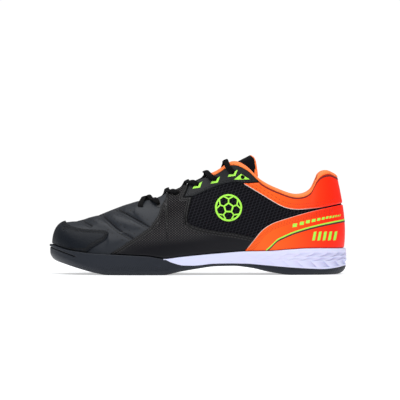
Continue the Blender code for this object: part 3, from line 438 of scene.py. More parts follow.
WALL_ROWS = 60
low_rings = [corner_ring(RINGS, math.radians(a)) for a in range(0, 90, 10)]
foot_ring = corner_ring(RINGS, math.pi / 2)
top_z = wall_top(ring_x)
foot_ring[..., 2] = np.minimum(foot_ring[..., 2], top_z - 0.8 * MM)
wall_rings = []
for k in range(WALL_ROWS + 1):
    share = k / WALL_ROWS
    level = foot_ring[..., 2] + (top_z - foot_ring[..., 2] - 0.7 * MM) * share
    place = wall_side(RINGS, level, 0.0)
    wall_rings.append(place + outward(RINGS) * toe_groove(place)[..., None])
for inward, below in ((0.2, 0.3), (0.6, 0.08), (1.3, 0.0), (2.8, 0.0), (2.9, 2.5)):
    place = wall_side(RINGS, top_z - below * MM, -inward * MM)
    place += outward(RINGS) * toe_groove(place)[..., None] * (1 if inward < 2 else 0)
    wall_rings.append(place)
rings = np.array(low_rings + wall_rings)
columns = len(RINGS)
ACROSS = 28
half_loop = columns // 2 + 1
pair = (-np.arange(half_loop)) % columns
sole_rows = []
for k in range(ACROSS + 1):
    f = k / ACROSS
    row = rings[0][:half_loop] * (1 - f) + rings[0][pair] * f
    row[..., 2] = sole_z(BOTTOM, row[..., 0])
    for groove in FLEX_GROOVES:
        near = np.exp(-((row[..., 0] - groove * LENGTH) / (1.2 * MM)) ** 4)
        row[..., 2] += 1.5 * MM * near * ease(0, 0.06, f) * ease(1, 0.94, f)
    sole_rows.append(row)
points = np.concatenate([rings.reshape(-1, 3), np.array(sole_rows).reshape(-1, 3)])
faces = (grid_faces(len(rings), columns, closed=True)
         + grid_faces(ACROSS + 1, half_loop, start=rings.size // 3))
# Painted shade: the slit round the toe is darkened almost to black.
rubber.tint(rubber.attribute("slit"), (0.0005, 0.0005, 0.001))
install(add_object("outsole_skin", points, faces, [rubber.material], slit=toe_slit(points)[0]),
        "black_rubber", "outsole")

# Midsole: white moulded foam, bare from the arch to the heel and hidden in the rubber cup in
# front. The feathers are pressed into its side and fade out towards the arch.
foam = Finish("midsole_foam", (0.66, 0.66, 0.86), 0.5, Subsurface_Weight=0.08)
foam.bump(foam.noise(900.0), 0.0001, 0.3)
foam_s = np.linspace(-11.42, 11.42, 900)
foam_x = foot(foam_s)[..., 0]
foam_low, foam_top = wall_top(foam_x), sole_z(RIM, foam_x)
steps = np.linalg.norm(np.diff(wall_side(foam_s, 0, 0.0), axis=0), axis=-1)
foam_run = np.concatenate([[0], np.cumsum(steps)]) / MM
foam_run = np.abs(foam_run - foam_run[len(foam_run) // 2])


def feather(run, q):
    """Depth of the relief at a distance from the back of the heel and a height share: two
    tiers of hooked feathers rising to the rear over a tier of scales falling to it."""
    relief = 0 * run
    for low, high, lean, shift in ((0.60, 0.86, 1.0, 0.0), (0.38, 0.62, 1.0, 0.5),
                                   (0.07, 0.42, -0.55, 0.3)):
        f = np.clip((q - low) / (high - low), 0, 1)
        inside = ease(low, low + 0.05, q) * ease(high + 0.02, high - 0.10, q)
        turn = lean * (1 - f) ** 3 if lean > 0 else lean * (1 - f)
        phase = -run / 13.5 + turn + shift
        tile = phase - np.floor(phase)
        relief = relief + inside * (np.clip(1.15 - tile, 0, 1) ** 1.4 if lean > 0 else tile ** 1.5)
    return relief * (ease(95, 30, run) * 0.8 + ease(170, 90, run) * 0.2)


foam_rows, depths = [], []
for q in np.linspace(0, 1, 49):
    level = foam_low + (foam_top - foam_low - 0.8 * MM) * q
    bulge = 0.8 * MM * math.sin(math.pi * q) * ease(-0.05, 0.10, foam_x / LENGTH)
    depths.append(feather(foam_run, q))
    foam_rows.append(wall_side(foam_s, level, bulge - depths[-1] * 1.5 * MM))
for inward, below in ((0.25, 0.35), (0.7, 0.1), (1.4, 0.0), (2.8, 0.0), (2.9, 2.5)):
    foam_rows.append(wall_side(foam_s, foam_top - below * MM, -inward * MM))
under = foam_rows[0].copy()
under[..., 2] -= 0.3 * MM
foam_rows.insert(0, under - outward(foam_s) * 1.5 * MM)
foam_points = np.array(foam_rows)
shade = np.zeros(foam_points.shape[:2])
shade[1:len(depths) + 1] = depths
# Painted shade: the feather recesses are tinted darker and bluer by their depth.
foam.tint(foam.math("MULTIPLY", foam.attribute("shade"), 0.62), (0.36, 0.36, 0.62))
install(add_object("midsole_skin", foam_points, grid_faces(len(foam_rows), len(foam_s)),
                   [foam.material], shade=shade), "white_foam", "midsole")

# Insole: a die-cut foam footbed faced with black cloth, laid inside the upper. It is dished
# under the heel, and only the part inside the collar shows.
cloth = Finish("insole_cloth", (0.02, 0.02, 0.022), 0.9, Sheen_Weight=0.2)
cloth.bump(cloth.noise(2600.0, 4.0), 0.0002, 0.6)
bed_ring = edge_point(RINGS, 0 * RINGS, -3.4 * MM)
bed_rows = []
for k in range(ACROSS + 1):
    f = k / ACROSS
    row = bed_ring[:half_loop] * (1 - f) + bed_ring[pair] * f
    edge = 1 - 0.6 * math.exp(-min(f, 1 - f) / 0.02)
    dish = 1.2 * MM * (1 - math.sin(math.pi * f))
    row[..., 2] = (sole_z(BED, row[..., 0]) + GAP + 3.5 * MM * edge
                   + dish * ease(0.0, 0.3, row[..., 0] / LENGTH))
    bed_rows.append(row)
bed_points = np.array(bed_rows)
install(add_object("insole_skin", bed_points, grid_faces(ACROSS + 1, half_loop, flip=True),
                   [cloth.material]), "black_textile", "insole")

# Upper: padded vamp leather in front, open mesh behind the side panels and a cloth lining,
# pulled together over a last. The vamp is quilted by sewn seams that run from the ridge down
# and back to the side panel.
SOLE, ABOVE = "sole", "above"
TOE_CAP_EDGE = [(-0.470, 0.56), (-0.457, 0.470), (-0.443, 0.441), (-0.419, 0.420), (-0.387, 0.405),
                (-0.352, 0.402), (-0.317, 0.396), (-0.304, 0.378), (-0.314, 0.318), (-0.339, 0.276),
                (-0.362, 0.238), (-0.380, SOLE)]
SIDE_FRONT = [(-0.303, SOLE), (-0.254, 0.266), (-0.206, 0.348), (-0.165, 0.424), (-0.145, 0.496),
              (-0.134, 0.543), (-0.127, 0.600), (-0.117, 0.658), (-0.108, 0.720), (-0.098, ABOVE)]
QUILT = [[(-0.415, 0.560), (-0.399, 0.486), (-0.383, 0.455), (-0.368, 0.436)],
         [(-0.362, 0.640), (-0.336, 0.545), (-0.302, 0.463), (-0.272, 0.400), (-0.238, 0.347),
          (-0.222, 0.318)],
         [(-0.312, 0.680), (-0.285, 0.592), (-0.250, 0.545), (-0.213, 0.495), (-0.180, 0.445),
          (-0.158, 0.405)]]
QUILT_DEPTH = (0.9, 1.4, 1.3)


def side_points(points, steps=8):
    """An outline seen from the side, smoothed, in metres."""
    placed = []
    for x, z in points:
        z = {SOLE: float(sole_z(RIM, np.array(x * LENGTH))) / INSTEP_HEIGHT, ABOVE: 1.08}.get(z, z)
        placed.append((x * LENGTH, z * INSTEP_HEIGHT))
    t = np.linspace(0, len(placed) - 1, (len(placed) - 1) * steps + 1)
    xs, zs = np.array(placed).T
    return smooth(xs, t), smooth(zs, t)


def side_line(points, upright=False):
    """Height of a side outline as a function of x, or of an upright one x by height."""
    at, value = side_points(points)[::-1 if upright else 1]
    order = np.argsort(at)
    return lambda place: np.interp(place, at[order], value[order])


def place_on(x, z, side):
    """The (s, v) of the surface points that are seen at x, z from one side."""
    x, z = np.broadcast_arrays(np.asarray(x, float), np.asarray(z, float))
    t_grid, v_grid = np.meshgrid(np.linspace(1, 21, 121), np.linspace(0.05, 1, 50))
    s_grid = t_grid.ravel() if side < 0 else LOOP - t_grid.ravel()
    v_grid = v_grid.ravel()
    seen = skin(s_grid, v_grid)
    away = (seen[:, 0] - x.reshape(-1, 1)) ** 2 + (seen[:, 2] - z.reshape(-1, 1)) ** 2
    best = np.argmin(away, axis=1)
    s, v = s_grid[best].reshape(x.shape), v_grid[best].reshape(x.shape)
    for _ in range(8):
        here = skin(s, v)
        by_s = (skin(s + 0.01, v) - here) / 0.01
        by_v = (here - skin(s, v - 0.005)) / 0.005
        dx, dz = x - here[..., 0], z - here[..., 2]
        scale = by_s[..., 0] * by_v[..., 2] - by_v[..., 0] * by_s[..., 2]
        scale = np.where(np.abs(scale) < 1e-9, 1e-9, scale)
        s = s + np.clip((dx * by_v[..., 2] - dz * by_v[..., 0]) / scale, -0.3, 0.3)
        v = np.clip(v + np.clip((dz * by_s[..., 0] - dx * by_s[..., 2]) / scale, -0.08, 0.08), 0, 1)
    return s, v


def skin_normal(s, v):
    s, v = np.broadcast_arrays(np.asarray(s, float), np.asarray(v, float))
    v = np.where(station(s) > LAST - 1.5, np.minimum(v, 0.95), v)
    along = skin(s + 0.04, v) - skin(s - 0.04, v)
    here = controls(s)
    up = bezier(here, np.minimum(v + 0.02, 1)) - bezier(here, np.maximum(v - 0.02, 0))
    normal = -np.cross(along, up)
    normal[..., 1] = np.where((station(s) >= THROAT) & (v >= 1), 0, normal[..., 1])
    return unit(normal)


def wall_depth(s, v):
    """Thickness of the upper, padded at the collar."""
    padded = (1 - ease(8.0, 9.6, station(s))) * ease(0.5, 0.86, v)
    return (2.6 + 3.9 * padded) * MM


def nearest(points, curve):
    """Distance from each point to a curve, and the length along it, in millimetres."""
    steps = np.linalg.norm(np.diff(curve, axis=0), axis=-1)
    run = np.concatenate([[0], np.cumsum(steps)])
    dense = np.linspace(0, run[-1], max(int(run[-1] / (0.5 * MM)), 4))
    fine = np.stack([np.interp(dense, run, curve[:, k]) for k in range(3)], -1)
    flat = points.reshape(-1, 3)
    best, at = np.full(len(flat), 1.0), np.zeros(len(flat))
    for begin in range(0, len(flat), 4000):
        part = flat[begin:begin + 4000]
        gaps = ((part[:, None, :] - fine[None]) ** 2).sum(-1)
        k = gaps.argmin(1)
        best[begin:begin + 4000] = np.sqrt(gaps[np.arange(len(part)), k])
        at[begin:begin + 4000] = dense[k]
    return best.reshape(points.shape[:-1]) / MM, at.reshape(points.shape[:-1]) / MM


cap_top = side_line(TOE_CAP_EDGE[:8])
cap_low = side_line(TOE_CAP_EDGE[7:])
side_front = side_line(SIDE_FRONT)
SHELL_S = np.linspace(0, LOOP, 14 * LOOP, endpoint=False)
SHELL_V = np.linspace(0, 1, 84)
shell_s, shell_v = np.meshgrid(SHELL_S, SHELL_V)
shell = skin(shell_s, shell_v)
shell_normal = skin_normal(shell_s, shell_v)
quilt = np.full(shell_s.shape, 99.0)
quilt_along = np.zeros(shell_s.shape)
grooves = np.zeros(shell_s.shape)
front = shell[..., 0] < -28 * MM
for line, depth in zip(QUILT, QUILT_DEPTH):
    xs, zs = side_points(line)
    for side in (-1, 1):
        curve = skin(*place_on(xs, zs, side))
        away, along = np.full(shell_s.shape, 99.0), np.zeros(shell_s.shape)
        away[front], along[front] = nearest(shell[front], curve)
        grooves -= depth * np.exp(-(away / 1.6) ** 2)
        closer = away < quilt
        quilt, quilt_along = np.where(closer, away, quilt), np.where(closer, along, quilt_along)
vamp_x, vamp_z = shell[..., 0] / MM, shell[..., 2] / MM
body = ease(-122, -104, vamp_x) * ease(-42, -60, vamp_x) * ease(22, 50, vamp_z)
puffs = 2.5 * body * (1 - np.exp(-(quilt / 5.5) ** 2))
for x, z, lean, size, depth in ((-60, 55, 0.9, 2.6, 0.5), (-70, 40, 0.8, 3.0, 0.45),
                                (-96, 36, 0.7, 3.2, 0.4)):
    across = (vamp_x - x) * 0.8 + (vamp_z - z) * 0.6 * lean
    along = (vamp_z - z) * 0.8 - (vamp_x - x) * 0.6
    puffs -= depth * np.exp(-(across / size) ** 2 - (along / 10) ** 2)
under_cap = np.minimum(cap_top(shell[..., 0]) - shell[..., 2], shell[..., 2] - cap_low(shell[..., 0]))
under_side = side_front(shell[..., 0]) - shell[..., 2]
relief = (grooves * ease(0, -1.5 * MM, np.maximum(under_cap, under_side))
          + puffs * ease(0, -10 * MM, under_cap) * ease(0, -10 * MM, under_side)) * front
outer = shell + shell_normal * (relief * MM)[..., None]
inner = shell - shell_normal * wall_depth(shell_s, shell_v)[..., None]

pebble = Effect("pebble", ("Scale",), ("Height",))
pebble.set("Height", pebble.node("ShaderNodeTexVoronoi", "Distance", {"feature": "SMOOTH_F1"},
                                 Scale=pebble.inputs[0], Vector=pebble.place()))
stitch_row = Effect("stitch_row", ("Edge", "Along", "Row", "Pitch", "Length", "Width"),
                    ("Thread", "Trough"))
row_edge, row_along, row_at, row_pitch, row_length, row_width = stitch_row.inputs
row_dash = stitch_row.near(stitch_row.math("FRACT", stitch_row.math(
    "DIVIDE", row_along, row_pitch)), 0.5, row_length)
stitch_row.set("Thread", stitch_row.math(
    "MULTIPLY", stitch_row.near(row_edge, row_at, row_width), row_dash))
stitch_row.set("Trough", stitch_row.near(row_edge, row_at, 1.1))

vamp = Finish("vamp_leather", (0.010, 0.013, 0.019), 0.42, Specular_IOR_Level=0.26)
vamp.bump(vamp.use(pebble, Scale=850.0)["Height"], 0.00025, 0.35)
vamp.bump(vamp.noise(320.0, 4.0), 0.0003, 0.25)
vamp_edge, vamp_along = vamp.attribute("quilt"), vamp.attribute("run")
thread = vamp.use(stitch_row, Edge=vamp_edge, Along=vamp_along, Row=1.6, Pitch=2.8,
                  Length=0.40, Width=0.75)["Thread"]
vamp.tint(thread, (0.001, 0.001, 0.002))
vamp.bump(thread, 0.0003, 0.9)
# Painted shade: the perforations beside the quilt seams are dark dots; no holes are cut.
dot_run = vamp.near(vamp.math("FRACT", vamp.math("DIVIDE", vamp_along, 6.0)), 0.5, 0.13)
dots = vamp.math("MULTIPLY", vamp.near(vamp_edge, 6.0, 0.8), dot_run)
vamp.tint(dots, (0.001, 0.001, 0.001))

mesh_cloth = Finish("window_mesh", (0.0015, 0.0015, 0.003), 0.8, Specular_IOR_Level=0.08)
mesh_x, mesh_y, mesh_z = mesh_cloth.axes()
lines = []
for along_x, along_z, pitch in ((1.0, -0.35, 3.4), (-0.30, 1.0, 2.7)):
    run = mesh_cloth.math("ADD", mesh_cloth.math("MULTIPLY", mesh_x, along_x / pitch),
                          mesh_cloth.math("MULTIPLY", mesh_z, along_z / pitch))
    lines.append(mesh_cloth.near(mesh_cloth.math("FRACT", run), 0.5, 0.13))
yarn = mesh_cloth.math("MAXIMUM", lines[0], lines[1])
mesh_cloth.tint(mesh_cloth.math("MULTIPLY", yarn, 0.85), (0.020, 0.020, 0.025))
mesh_cloth.bump(yarn, 0.0005, 1.0)
mesh_cloth.bump(mesh_cloth.noise(2400.0, 3.0), 0.0002, 0.5)

lining = Finish("orange_lining_cloth", (0.85, 0.16, 0.03), 0.85, Sheen_Weight=0.3)
lining.bump(lining.noise(2200.0, 4.0), 0.0002, 0.6)
lining_x, lining_y, lining_z = lining.axes()
lining.tint(lining.ramp(lining_z, 58.0, 48.0), (0.015, 0.015, 0.017))
lining.tint(lining.ramp(lining_x, 22.0, 12.0), (0.015, 0.015, 0.017))

behind = shell[..., 2] < side_front(shell[..., 0] - 5 * MM)
rows, columns = shell_s.shape
quads = np.array(grid_faces(rows, columns, closed=True))
mesh_quads = behind.reshape(-1)[quads].all(axis=1)
for name, chosen, finish, slot_name in (("upper_vamp", ~mesh_quads, vamp, "black_leather"),
                                        ("upper_mesh", mesh_quads, mesh_cloth, "black_textile")):
    piece = add_object(name, outer, quads[chosen].tolist(), [finish.material], quilt=quilt,
                       run=quilt_along)
    install(piece, slot_name, "upper")
rim = np.array([outer[-1], inner[-1]])
lining_points = np.concatenate([inner.reshape(-1, 3), rim.reshape(-1, 3)])
lining_faces = (grid_faces(rows, columns, closed=True, flip=True)
                + grid_faces(2, columns, closed=True, start=inner.size // 3))
install(add_object("upper_lining", lining_points, lining_faces, [lining.material]),
        "orange_lining", "upper")

# Tongue: padded black cloth, sewn in at its front end and held under the eyestays by the
# laces. Its free end stands above the collar and is bound in orange cloth.
TONGUE_EDGE, TONGUE_CLEARANCE, TONGUE_CROWN = 0.68, 0.9 * MM, 0.2


def offset(s, v, distance):
    s, v, distance = np.broadcast_arrays(np.asarray(s, float), v, distance)
    return skin(s, v) + skin_normal(s, v) * distance[..., None]


def tongue_surface(t, across):
    """The tongue's outer surface at a station of the throat, across from -1 to 1."""
    t, across = np.broadcast_arrays(np.asarray(t, float), np.asarray(across, float))
    s = np.where(across < 0, t, LOOP - t)
    edge = np.where(t < THROAT, TONGUE_EDGE, 0)
    beyond = np.clip((np.abs(across) - edge) / (1 - edge), 0, 1)[..., None]
    clear = -wall_depth(s, 1) - TONGUE_CLEARANCE
    tucked = offset(s, 5 / 6, -wall_depth(s, 5 / 6) - TONGUE_CLEARANCE)
    under_edge = offset(s, 1, clear) * (1 - beyond) + tucked * beyond
    left, right = offset(t, 0.999, clear), offset(LOOP - t, 0.999, clear)
    span = np.linalg.norm(right - left, axis=-1, keepdims=True) * TONGUE_CROWN
    tangent_left = unit(left - offset(t, 0.9, clear)) * span
    tangent_right = -unit(right - offset(LOOP - t, 0.9, clear)) * span
    f = ((across + TONGUE_EDGE) / (2 * TONGUE_EDGE))[..., None]
    crown = (left * (1 + 2 * f) * (1 - f) ** 2 + right * f * f * (3 - 2 * f)
             + tangent_left * f * (1 - f) ** 2 - tangent_right * f * f * (1 - f))
    return np.where((np.abs(across) >= edge)[..., None], under_edge, crown)


def tongue_free(lift, across):
    """The tongue's free end above the collar, lift from 0 to 1."""
    base, middle = tongue_surface(9.0, across), tongue_surface(9.0, 0.0)
    slope = unit(middle - tongue_surface(10.6, 0.0))
    bend = across * across * lift
    place = base + slope * (18 * MM) * lift[..., None]
    place[..., 1] += (middle[1] - base[..., 1]) * 0.28 * lift
    place[..., 0] += 9 * MM * bend
    place[..., 2] -= 8 * MM * bend * bend
    return place


across = np.linspace(-1, 1, 49)
tongue_t = np.linspace(17, 9, 81)
lifts = np.linspace(0, 1, 17)[1:]
body_rows = tongue_surface(*np.meshgrid(tongue_t, across, indexing="ij"))
free_rows = tongue_free(*np.meshgrid(lifts, across, indexing="ij"))
front_face = np.concatenate([body_rows, free_rows])
by_row, by_column = np.gradient(front_face, axis=0), np.gradient(front_face, axis=1)
tongue_normal = unit(np.cross(by_row, by_column))
tongue_normal *= np.sign(tongue_normal[..., 2:3] + 1e-9)
thick = 4 * MM * (1 - 0.55 * ease(0.8, 1.0, np.abs(across)))
puffed = front_face.copy()
puffed += tongue_normal * (0.5 * MM * ease(1.0, 0.7, np.abs(across)))[None, :, None]
back_face = front_face - tongue_normal * thick[None, :, None]
count, width = front_face.shape[:2]
loops = np.concatenate([puffed, back_face[:, ::-1]], axis=1)
tongue_faces = grid_faces(count, 2 * width, closed=True, flip=True)
for r in (0, count - 1):
    for c in range(width - 1):
        a, b = r * 2 * width + c, r * 2 * width + c + 1
        d, e = r * 2 * width + 2 * width - 1 - c, r * 2 * width + 2 * width - 2 - c
        tongue_faces.append([a, b, e, d] if r else [d, e, b, a])
tongue_cloth = Finish("tongue_cloth", (0.003, 0.003, 0.005), 0.85, Specular_IOR_Level=0.1)
tongue_cloth.bump(tongue_cloth.use(pebble, Scale=700.0)["Height"], 0.0004, 0.6)
tongue_piece = add_object("tongue_skin", loops, tongue_faces, [tongue_cloth.material])
install(tongue_piece, "black_textile", "tongue")


def tube(name, path, normals, width, thickness, finish, power=1.0, sides=14):
    """A flat or round cord swept along a path, width and thickness given for each point."""
    ahead = unit(np.gradient(path, axis=0))
    across = unit(np.cross(ahead, normals))
    up = np.cross(across, ahead)
    angle = np.linspace(0, 2 * math.pi, sides, endpoint=False)
    flat = np.sign(np.sin(angle)) * np.abs(np.sin(angle)) ** power
    width, thickness = np.broadcast_to(width, len(path)), np.broadcast_to(thickness, len(path))
    rings = (path[:, None] + across[:, None] * (np.cos(angle)[None] * width[:, None] / 2)[..., None]
             + up[:, None] * (flat[None] * thickness[:, None] / 2)[..., None])
    run = np.concatenate([[0], np.cumsum(np.linalg.norm(np.diff(path, axis=0), axis=-1))]) / MM
    faces = grid_faces(len(path), sides, closed=True)
    faces.append(list(range(sides)))
    faces.append(list(range(len(path) * sides - 1, (len(path) - 1) * sides - 1, -1)))
    wide = np.broadcast_to(np.cos(angle)[None] * width[:, None] / 2 / MM, rings.shape[:2])
    piece = add_object(name, rings, faces, [finish.material], merge=False,
                       run=np.broadcast_to(run[:, None], rings.shape[:2]), wide=wide)
    bm = bmesh.new()
    bm.from_mesh(piece.data)
    bmesh.ops.recalc_face_normals(bm, faces=bm.faces)
    bm.to_mesh(piece.data)
    bm.free()
    return piece


binding_cloth = Finish("binding_cloth", (1.0, 0.19, 0.02), 0.62, Sheen_Weight=0.15)
binding_cloth.bump(binding_cloth.noise(1800.0, 3.0), 0.00015, 0.5)
first = len(body_rows) - 1
edge_path = np.concatenate([
    (loops[first:, 0] + loops[first:, -1]) / 2,
    ((puffed[-1] + back_face[-1]) / 2)[1:-1],
    ((loops[first:, width - 1] + loops[first:, width]) / 2)[::-1]])
for _ in range(6):
    edge_path[1:-1] = (edge_path[:-2] + 2 * edge_path[1:-1] + edge_path[2:]) / 4
edge_normal = np.tile([-0.4, 0.0, 0.9], (len(edge_path), 1))
trim = tube("tongue_binding", edge_path, edge_normal, 3.4 * MM, 4.6 * MM, binding_cloth)
install(trim, "orange_lining")


# Overlays: toe cap, side panels, eyestays, collar panel and heel counter, all of thin synthetic
# leather, cut flat and sewn on near their edges. Each is cut out of the upper's surface by
# lines seen from the side, lifted by its thickness and rolled down at the edge.
EYESTAY_FRONT = [(-0.021, ABOVE), (-0.029, 0.820), (-0.038, 0.745), (-0.047, 0.694)]
EYESTAY_LOWER = [(-0.047, 0.694), (-0.015, 0.705), (0.010, 0.733), (0.053, 0.782), (0.090, 0.816),
                 (0.125, 0.832), (0.156, 0.826), (0.187, 0.829), (0.222, 0.848)]
EYESTAY_TAIL = [(0.222, 0.848), (0.236, ABOVE)]
WINDOW_FRONT = [(-0.019, 0.694), (-0.027, 0.614), (-0.034, 0.518), (-0.033, 0.470), (-0.018, 0.442),
                (0.016, 0.416), (0.065, 0.392), (0.126, 0.372), (0.190, 0.337)]
COUNTER_UPPER = [(0.160, SOLE), (0.192, 0.315), (0.220, 0.401), (0.249, 0.453), (0.277, 0.483),
                 (0.334, 0.528), (0.392, 0.570), (0.449, 0.604), (0.520, 0.640)]
COLLAR_LOWER = [(0.150, 0.826), (0.192, 0.761), (0.234, 0.694), (0.277, 0.627), (0.306, 0.597),
                (0.334, 0.585), (0.363, 0.587), (0.421, 0.604), (0.470, 0.628), (0.520, 0.655)]
EYELETS = [(-0.196, 0.590), (-0.134, 0.630), (-0.071, 0.724), (-0.001, 0.804), (0.061, 0.850),
           (0.120, 0.913), (0.154, 0.873)]


def panel(name, s_range, v_range, bounds_of, finish, slot_name, holes=(), thickness=1.0):
    """A thin piece where every bound is positive. bounds_of(place, s, v) gives two lists of
    bounds in metres, those with a sewn edge first."""
    count_s = int((s_range[1] - s_range[0]) / 0.07)
    count_v = int((v_range[1] - v_range[0]) / 0.0125)
    s, v = np.meshgrid(np.linspace(*s_range, count_s), np.linspace(*v_range, count_v))
    place = skin(s, v)
    by_v, by_s = np.gradient(place, axis=0), np.gradient(place, axis=1)
    ss, vv, sv = (by_s ** 2).sum(-1), (by_v ** 2).sum(-1), (by_s * by_v).sum(-1)
    area = np.maximum(ss * vv - sv ** 2, 1e-16)

    def distance(values):
        dv, ds = np.gradient(values)
        steep = np.sqrt(np.maximum((vv * ds ** 2 - 2 * sv * ds * dv + ss * dv ** 2) / area, 1e-4))
        return values / steep

    sewn, cut = (np.min([np.max([distance(part) for part in bound], axis=0)
                         for bound in group], axis=0) for group in bounds_of(place, s, v))
    edge, row = np.minimum(sewn, cut), sewn
    for centre, radius in holes:
        edge = np.minimum(edge, np.linalg.norm(place - centre, axis=-1) - radius)
    keys, coords, faces = {}, [], []

    def corner(j, i):
        if (j, i) not in keys:
            keys[(j, i)] = len(coords)
            coords.append((s[j, i], v[j, i], row[j, i], edge[j, i]))
        return keys[(j, i)]

    def crossing(a, b):
        key = (min(a, b), max(a, b))
        if key not in keys:
            ea, eb = edge[key[0]], edge[key[1]]
            f = ea / (ea - eb)
            keys[key] = len(coords)
            coords.append(tuple(part[key[0]] * (1 - f) + part[key[1]] * f
                                for part in (s, v, row)) + (0.0,))
        return keys[key]

    inside = edge > 0
    totals = (inside[:-1, :-1].astype(int) + inside[1:, :-1] + inside[1:, 1:] + inside[:-1, 1:])
    for j, i in zip(*np.nonzero(totals)):
        cell = [(j, i), (j + 1, i), (j + 1, i + 1), (j, i + 1)]
        loop = []
        for a, b in zip(cell, cell[1:] + cell[:1]):
            if inside[a]:
                loop.append(corner(*a))
            if inside[a] != inside[b]:
                loop.append(crossing(a, b))
        if len(loop) > 2:
            faces.append(loop)
    coords = np.array(coords)
    at_s, at_v, at_row, at_edge = coords.T
    at_edge = np.maximum(at_edge, 0) / MM
    roll = np.sqrt(1 - (1 - np.clip(at_edge / 0.9, 0, 1)) ** 2)
    lift = (0.45 + (thickness - 0.15) * roll) * MM
    points = offset(at_s, at_v, lift)
    sides = {}
    for loop in faces:
        for a, b in zip(loop, loop[1:] + loop[:1]):
            sides[(a, b)] = sides.get((a, b), 0) + 1
    border = [(a, b) for a, b in sides if (b, a) not in sides]
    low_of = {}
    low_points = []
    for a in sorted({k for step in border for k in step}):
        low_of[a] = len(points) + len(low_points)
        low_points.append(a)
    skirt = offset(at_s[low_points], at_v[low_points], -0.3 * MM)
    faces += [[b, a, low_of[a], low_of[b]] for a, b in border]
    along = points[:, 0] / MM + 0.8 * points[:, 2] / MM
    piece = add_object(f"{name}_skin", np.concatenate([points, skirt]), faces,
                       [finish.material], merge=False,
                       edge=np.concatenate([at_edge, np.full(len(skirt), -1.0)]),
                       row=np.concatenate([at_row, at_row[low_points]]) / MM,
                       along=np.concatenate([along, along[low_points]]))
    install(piece, slot_name, name)


def lane(place):
    return place[..., 0], place[..., 2]


def above_rim(place, s):
    return place[..., 2] - sole_z(RIM, foot(s)[..., 0]) - 0.45 * MM


stay_front = side_line(EYESTAY_FRONT, upright=True)
stay_low = side_line(EYESTAY_LOWER + [(0.229, 0.96), EYESTAY_TAIL[-1]])
stay_bottom = side_line(EYESTAY_LOWER)
window_low = side_line(WINDOW_FRONT[3:])
window_front = side_line(WINDOW_FRONT[:4], upright=True)
counter_top = side_line([(0.096, 0.018), (0.128, 0.117)] + COUNTER_UPPER)
collar_low = side_line(COLLAR_LOWER)
SEAM = 0.6 * MM
TOP = 0.985


def cap_bounds(place, s, v):
    x, z = lane(place)
    return [[cap_top(x) - z], [z - cap_low(x)]], [[above_rim(place, s)]]


def side_bounds(place, s, v):
    x, z = lane(place)
    return [[[side_front(x) - z],
             [stay_bottom(x) - z - SEAM, stay_front(z) - x - SEAM],
             [window_low(x) - z, window_front(z) - x]],
            [[above_rim(place, s)], [(TOP - v) * 60 * MM], [z - counter_top(x) - SEAM]]]


def stay_bounds(place, s, v):
    x, z = lane(place)
    return [[z - stay_low(x)], [x - stay_front(z)]], [[(TOP - v) * 60 * MM]]


def collar_bounds(place, s, v):
    x, z = lane(place)
    return [[z - collar_low(x)]], [[stay_low(x - SEAM) - z - SEAM], [(TOP - v) * 60 * MM]]


def counter_bounds(place, s, v):
    x, z = lane(place)
    return [[counter_top(x) - z]], [[above_rim(place, s)], [x - 0.150 * LENGTH]]


def stitches(finish, rows, colour, width=0.6):
    """Stitched rows at distances from the sewn edge, and the soft trough they pull in."""
    edge, along = finish.attribute("row"), finish.attribute("along")
    for row in rows:
        made = finish.use(stitch_row, Edge=edge, Along=along, Row=row, Pitch=2.8, Length=0.42,
                          Width=width)
        finish.bump(finish.math("MULTIPLY", made["Trough"], -1.0), 0.0007, 0.9)
        finish.bump(made["Thread"], 0.0004, 0.9)
        finish.tint(made["Thread"], colour)


cap_leather = Finish("toe_cap_leather", (0.002, 0.004, 0.008), 0.45, Specular_IOR_Level=0.2)
cap_leather.bump(cap_leather.use(pebble, Scale=1100.0)["Height"], 0.0003, 0.7)
stitches(cap_leather, (1.5, 3.6), (0.0003, 0.0003, 0.0006))

scale_leather = Finish("scale_leather", (0.002, 0.002, 0.004), 0.4, Specular_IOR_Level=0.2)
scale_x, scale_y, scale_z = scale_leather.axes()
ramps = []
for lean in (0.85, -0.85):
    run = scale_leather.math("ADD", scale_leather.math("DIVIDE", scale_x, 2.9),
                             scale_leather.math("MULTIPLY", scale_z, lean / 2.0))
    ramps.append(scale_leather.math("FRACT", run))
scale_height = scale_leather.math("MINIMUM", ramps[0], scale_leather.math(
    "SUBTRACT", 1.0, ramps[1]))
fading = scale_leather.math("ADD", scale_z, scale_leather.math("MULTIPLY", scale_x, -0.12))
patch = scale_leather.math("MULTIPLY", scale_leather.ramp(fading, 31.0, 46.0),
                           scale_leather.ramp(scale_x, 32.0, 0.0))
scale_edge = scale_leather.attribute("row")
patch = scale_leather.math("MULTIPLY", patch, scale_leather.ramp(scale_edge, 3.2, 5.2))
embossed = scale_leather.math("MULTIPLY", scale_height, patch)
scale_leather.bump(embossed, 0.0014, 1.0)
# Painted highlight: the raised part of each embossed scale is tinted lighter.
glint = scale_leather.math("MULTIPLY", scale_leather.ramp(scale_height, 0.45, 0.95), patch)
scale_leather.tint(scale_leather.math("MULTIPLY", glint, 0.9), (0.150, 0.132, 0.125))
scale_leather.bump(scale_leather.use(pebble, Scale=1000.0)["Height"], 0.0002, 0.35)
stitches(scale_leather, (1.6, 3.6), (0.030, 0.029, 0.030), width=0.5)
for line in (0.2, 2.6):
    scale_leather.tint(scale_leather.near(scale_edge, line, 0.8), (0.0002, 0.0002, 0.0004))

stay_leather = Finish("eyestay_leather", (0.005, 0.006, 0.008), 0.5, Specular_IOR_Level=0.22)
stay_leather.bump(stay_leather.noise(1500.0, 3.0), 0.00012, 0.5)
stitches(stay_leather, (1.4,), (0.025, 0.027, 0.031), width=0.4)


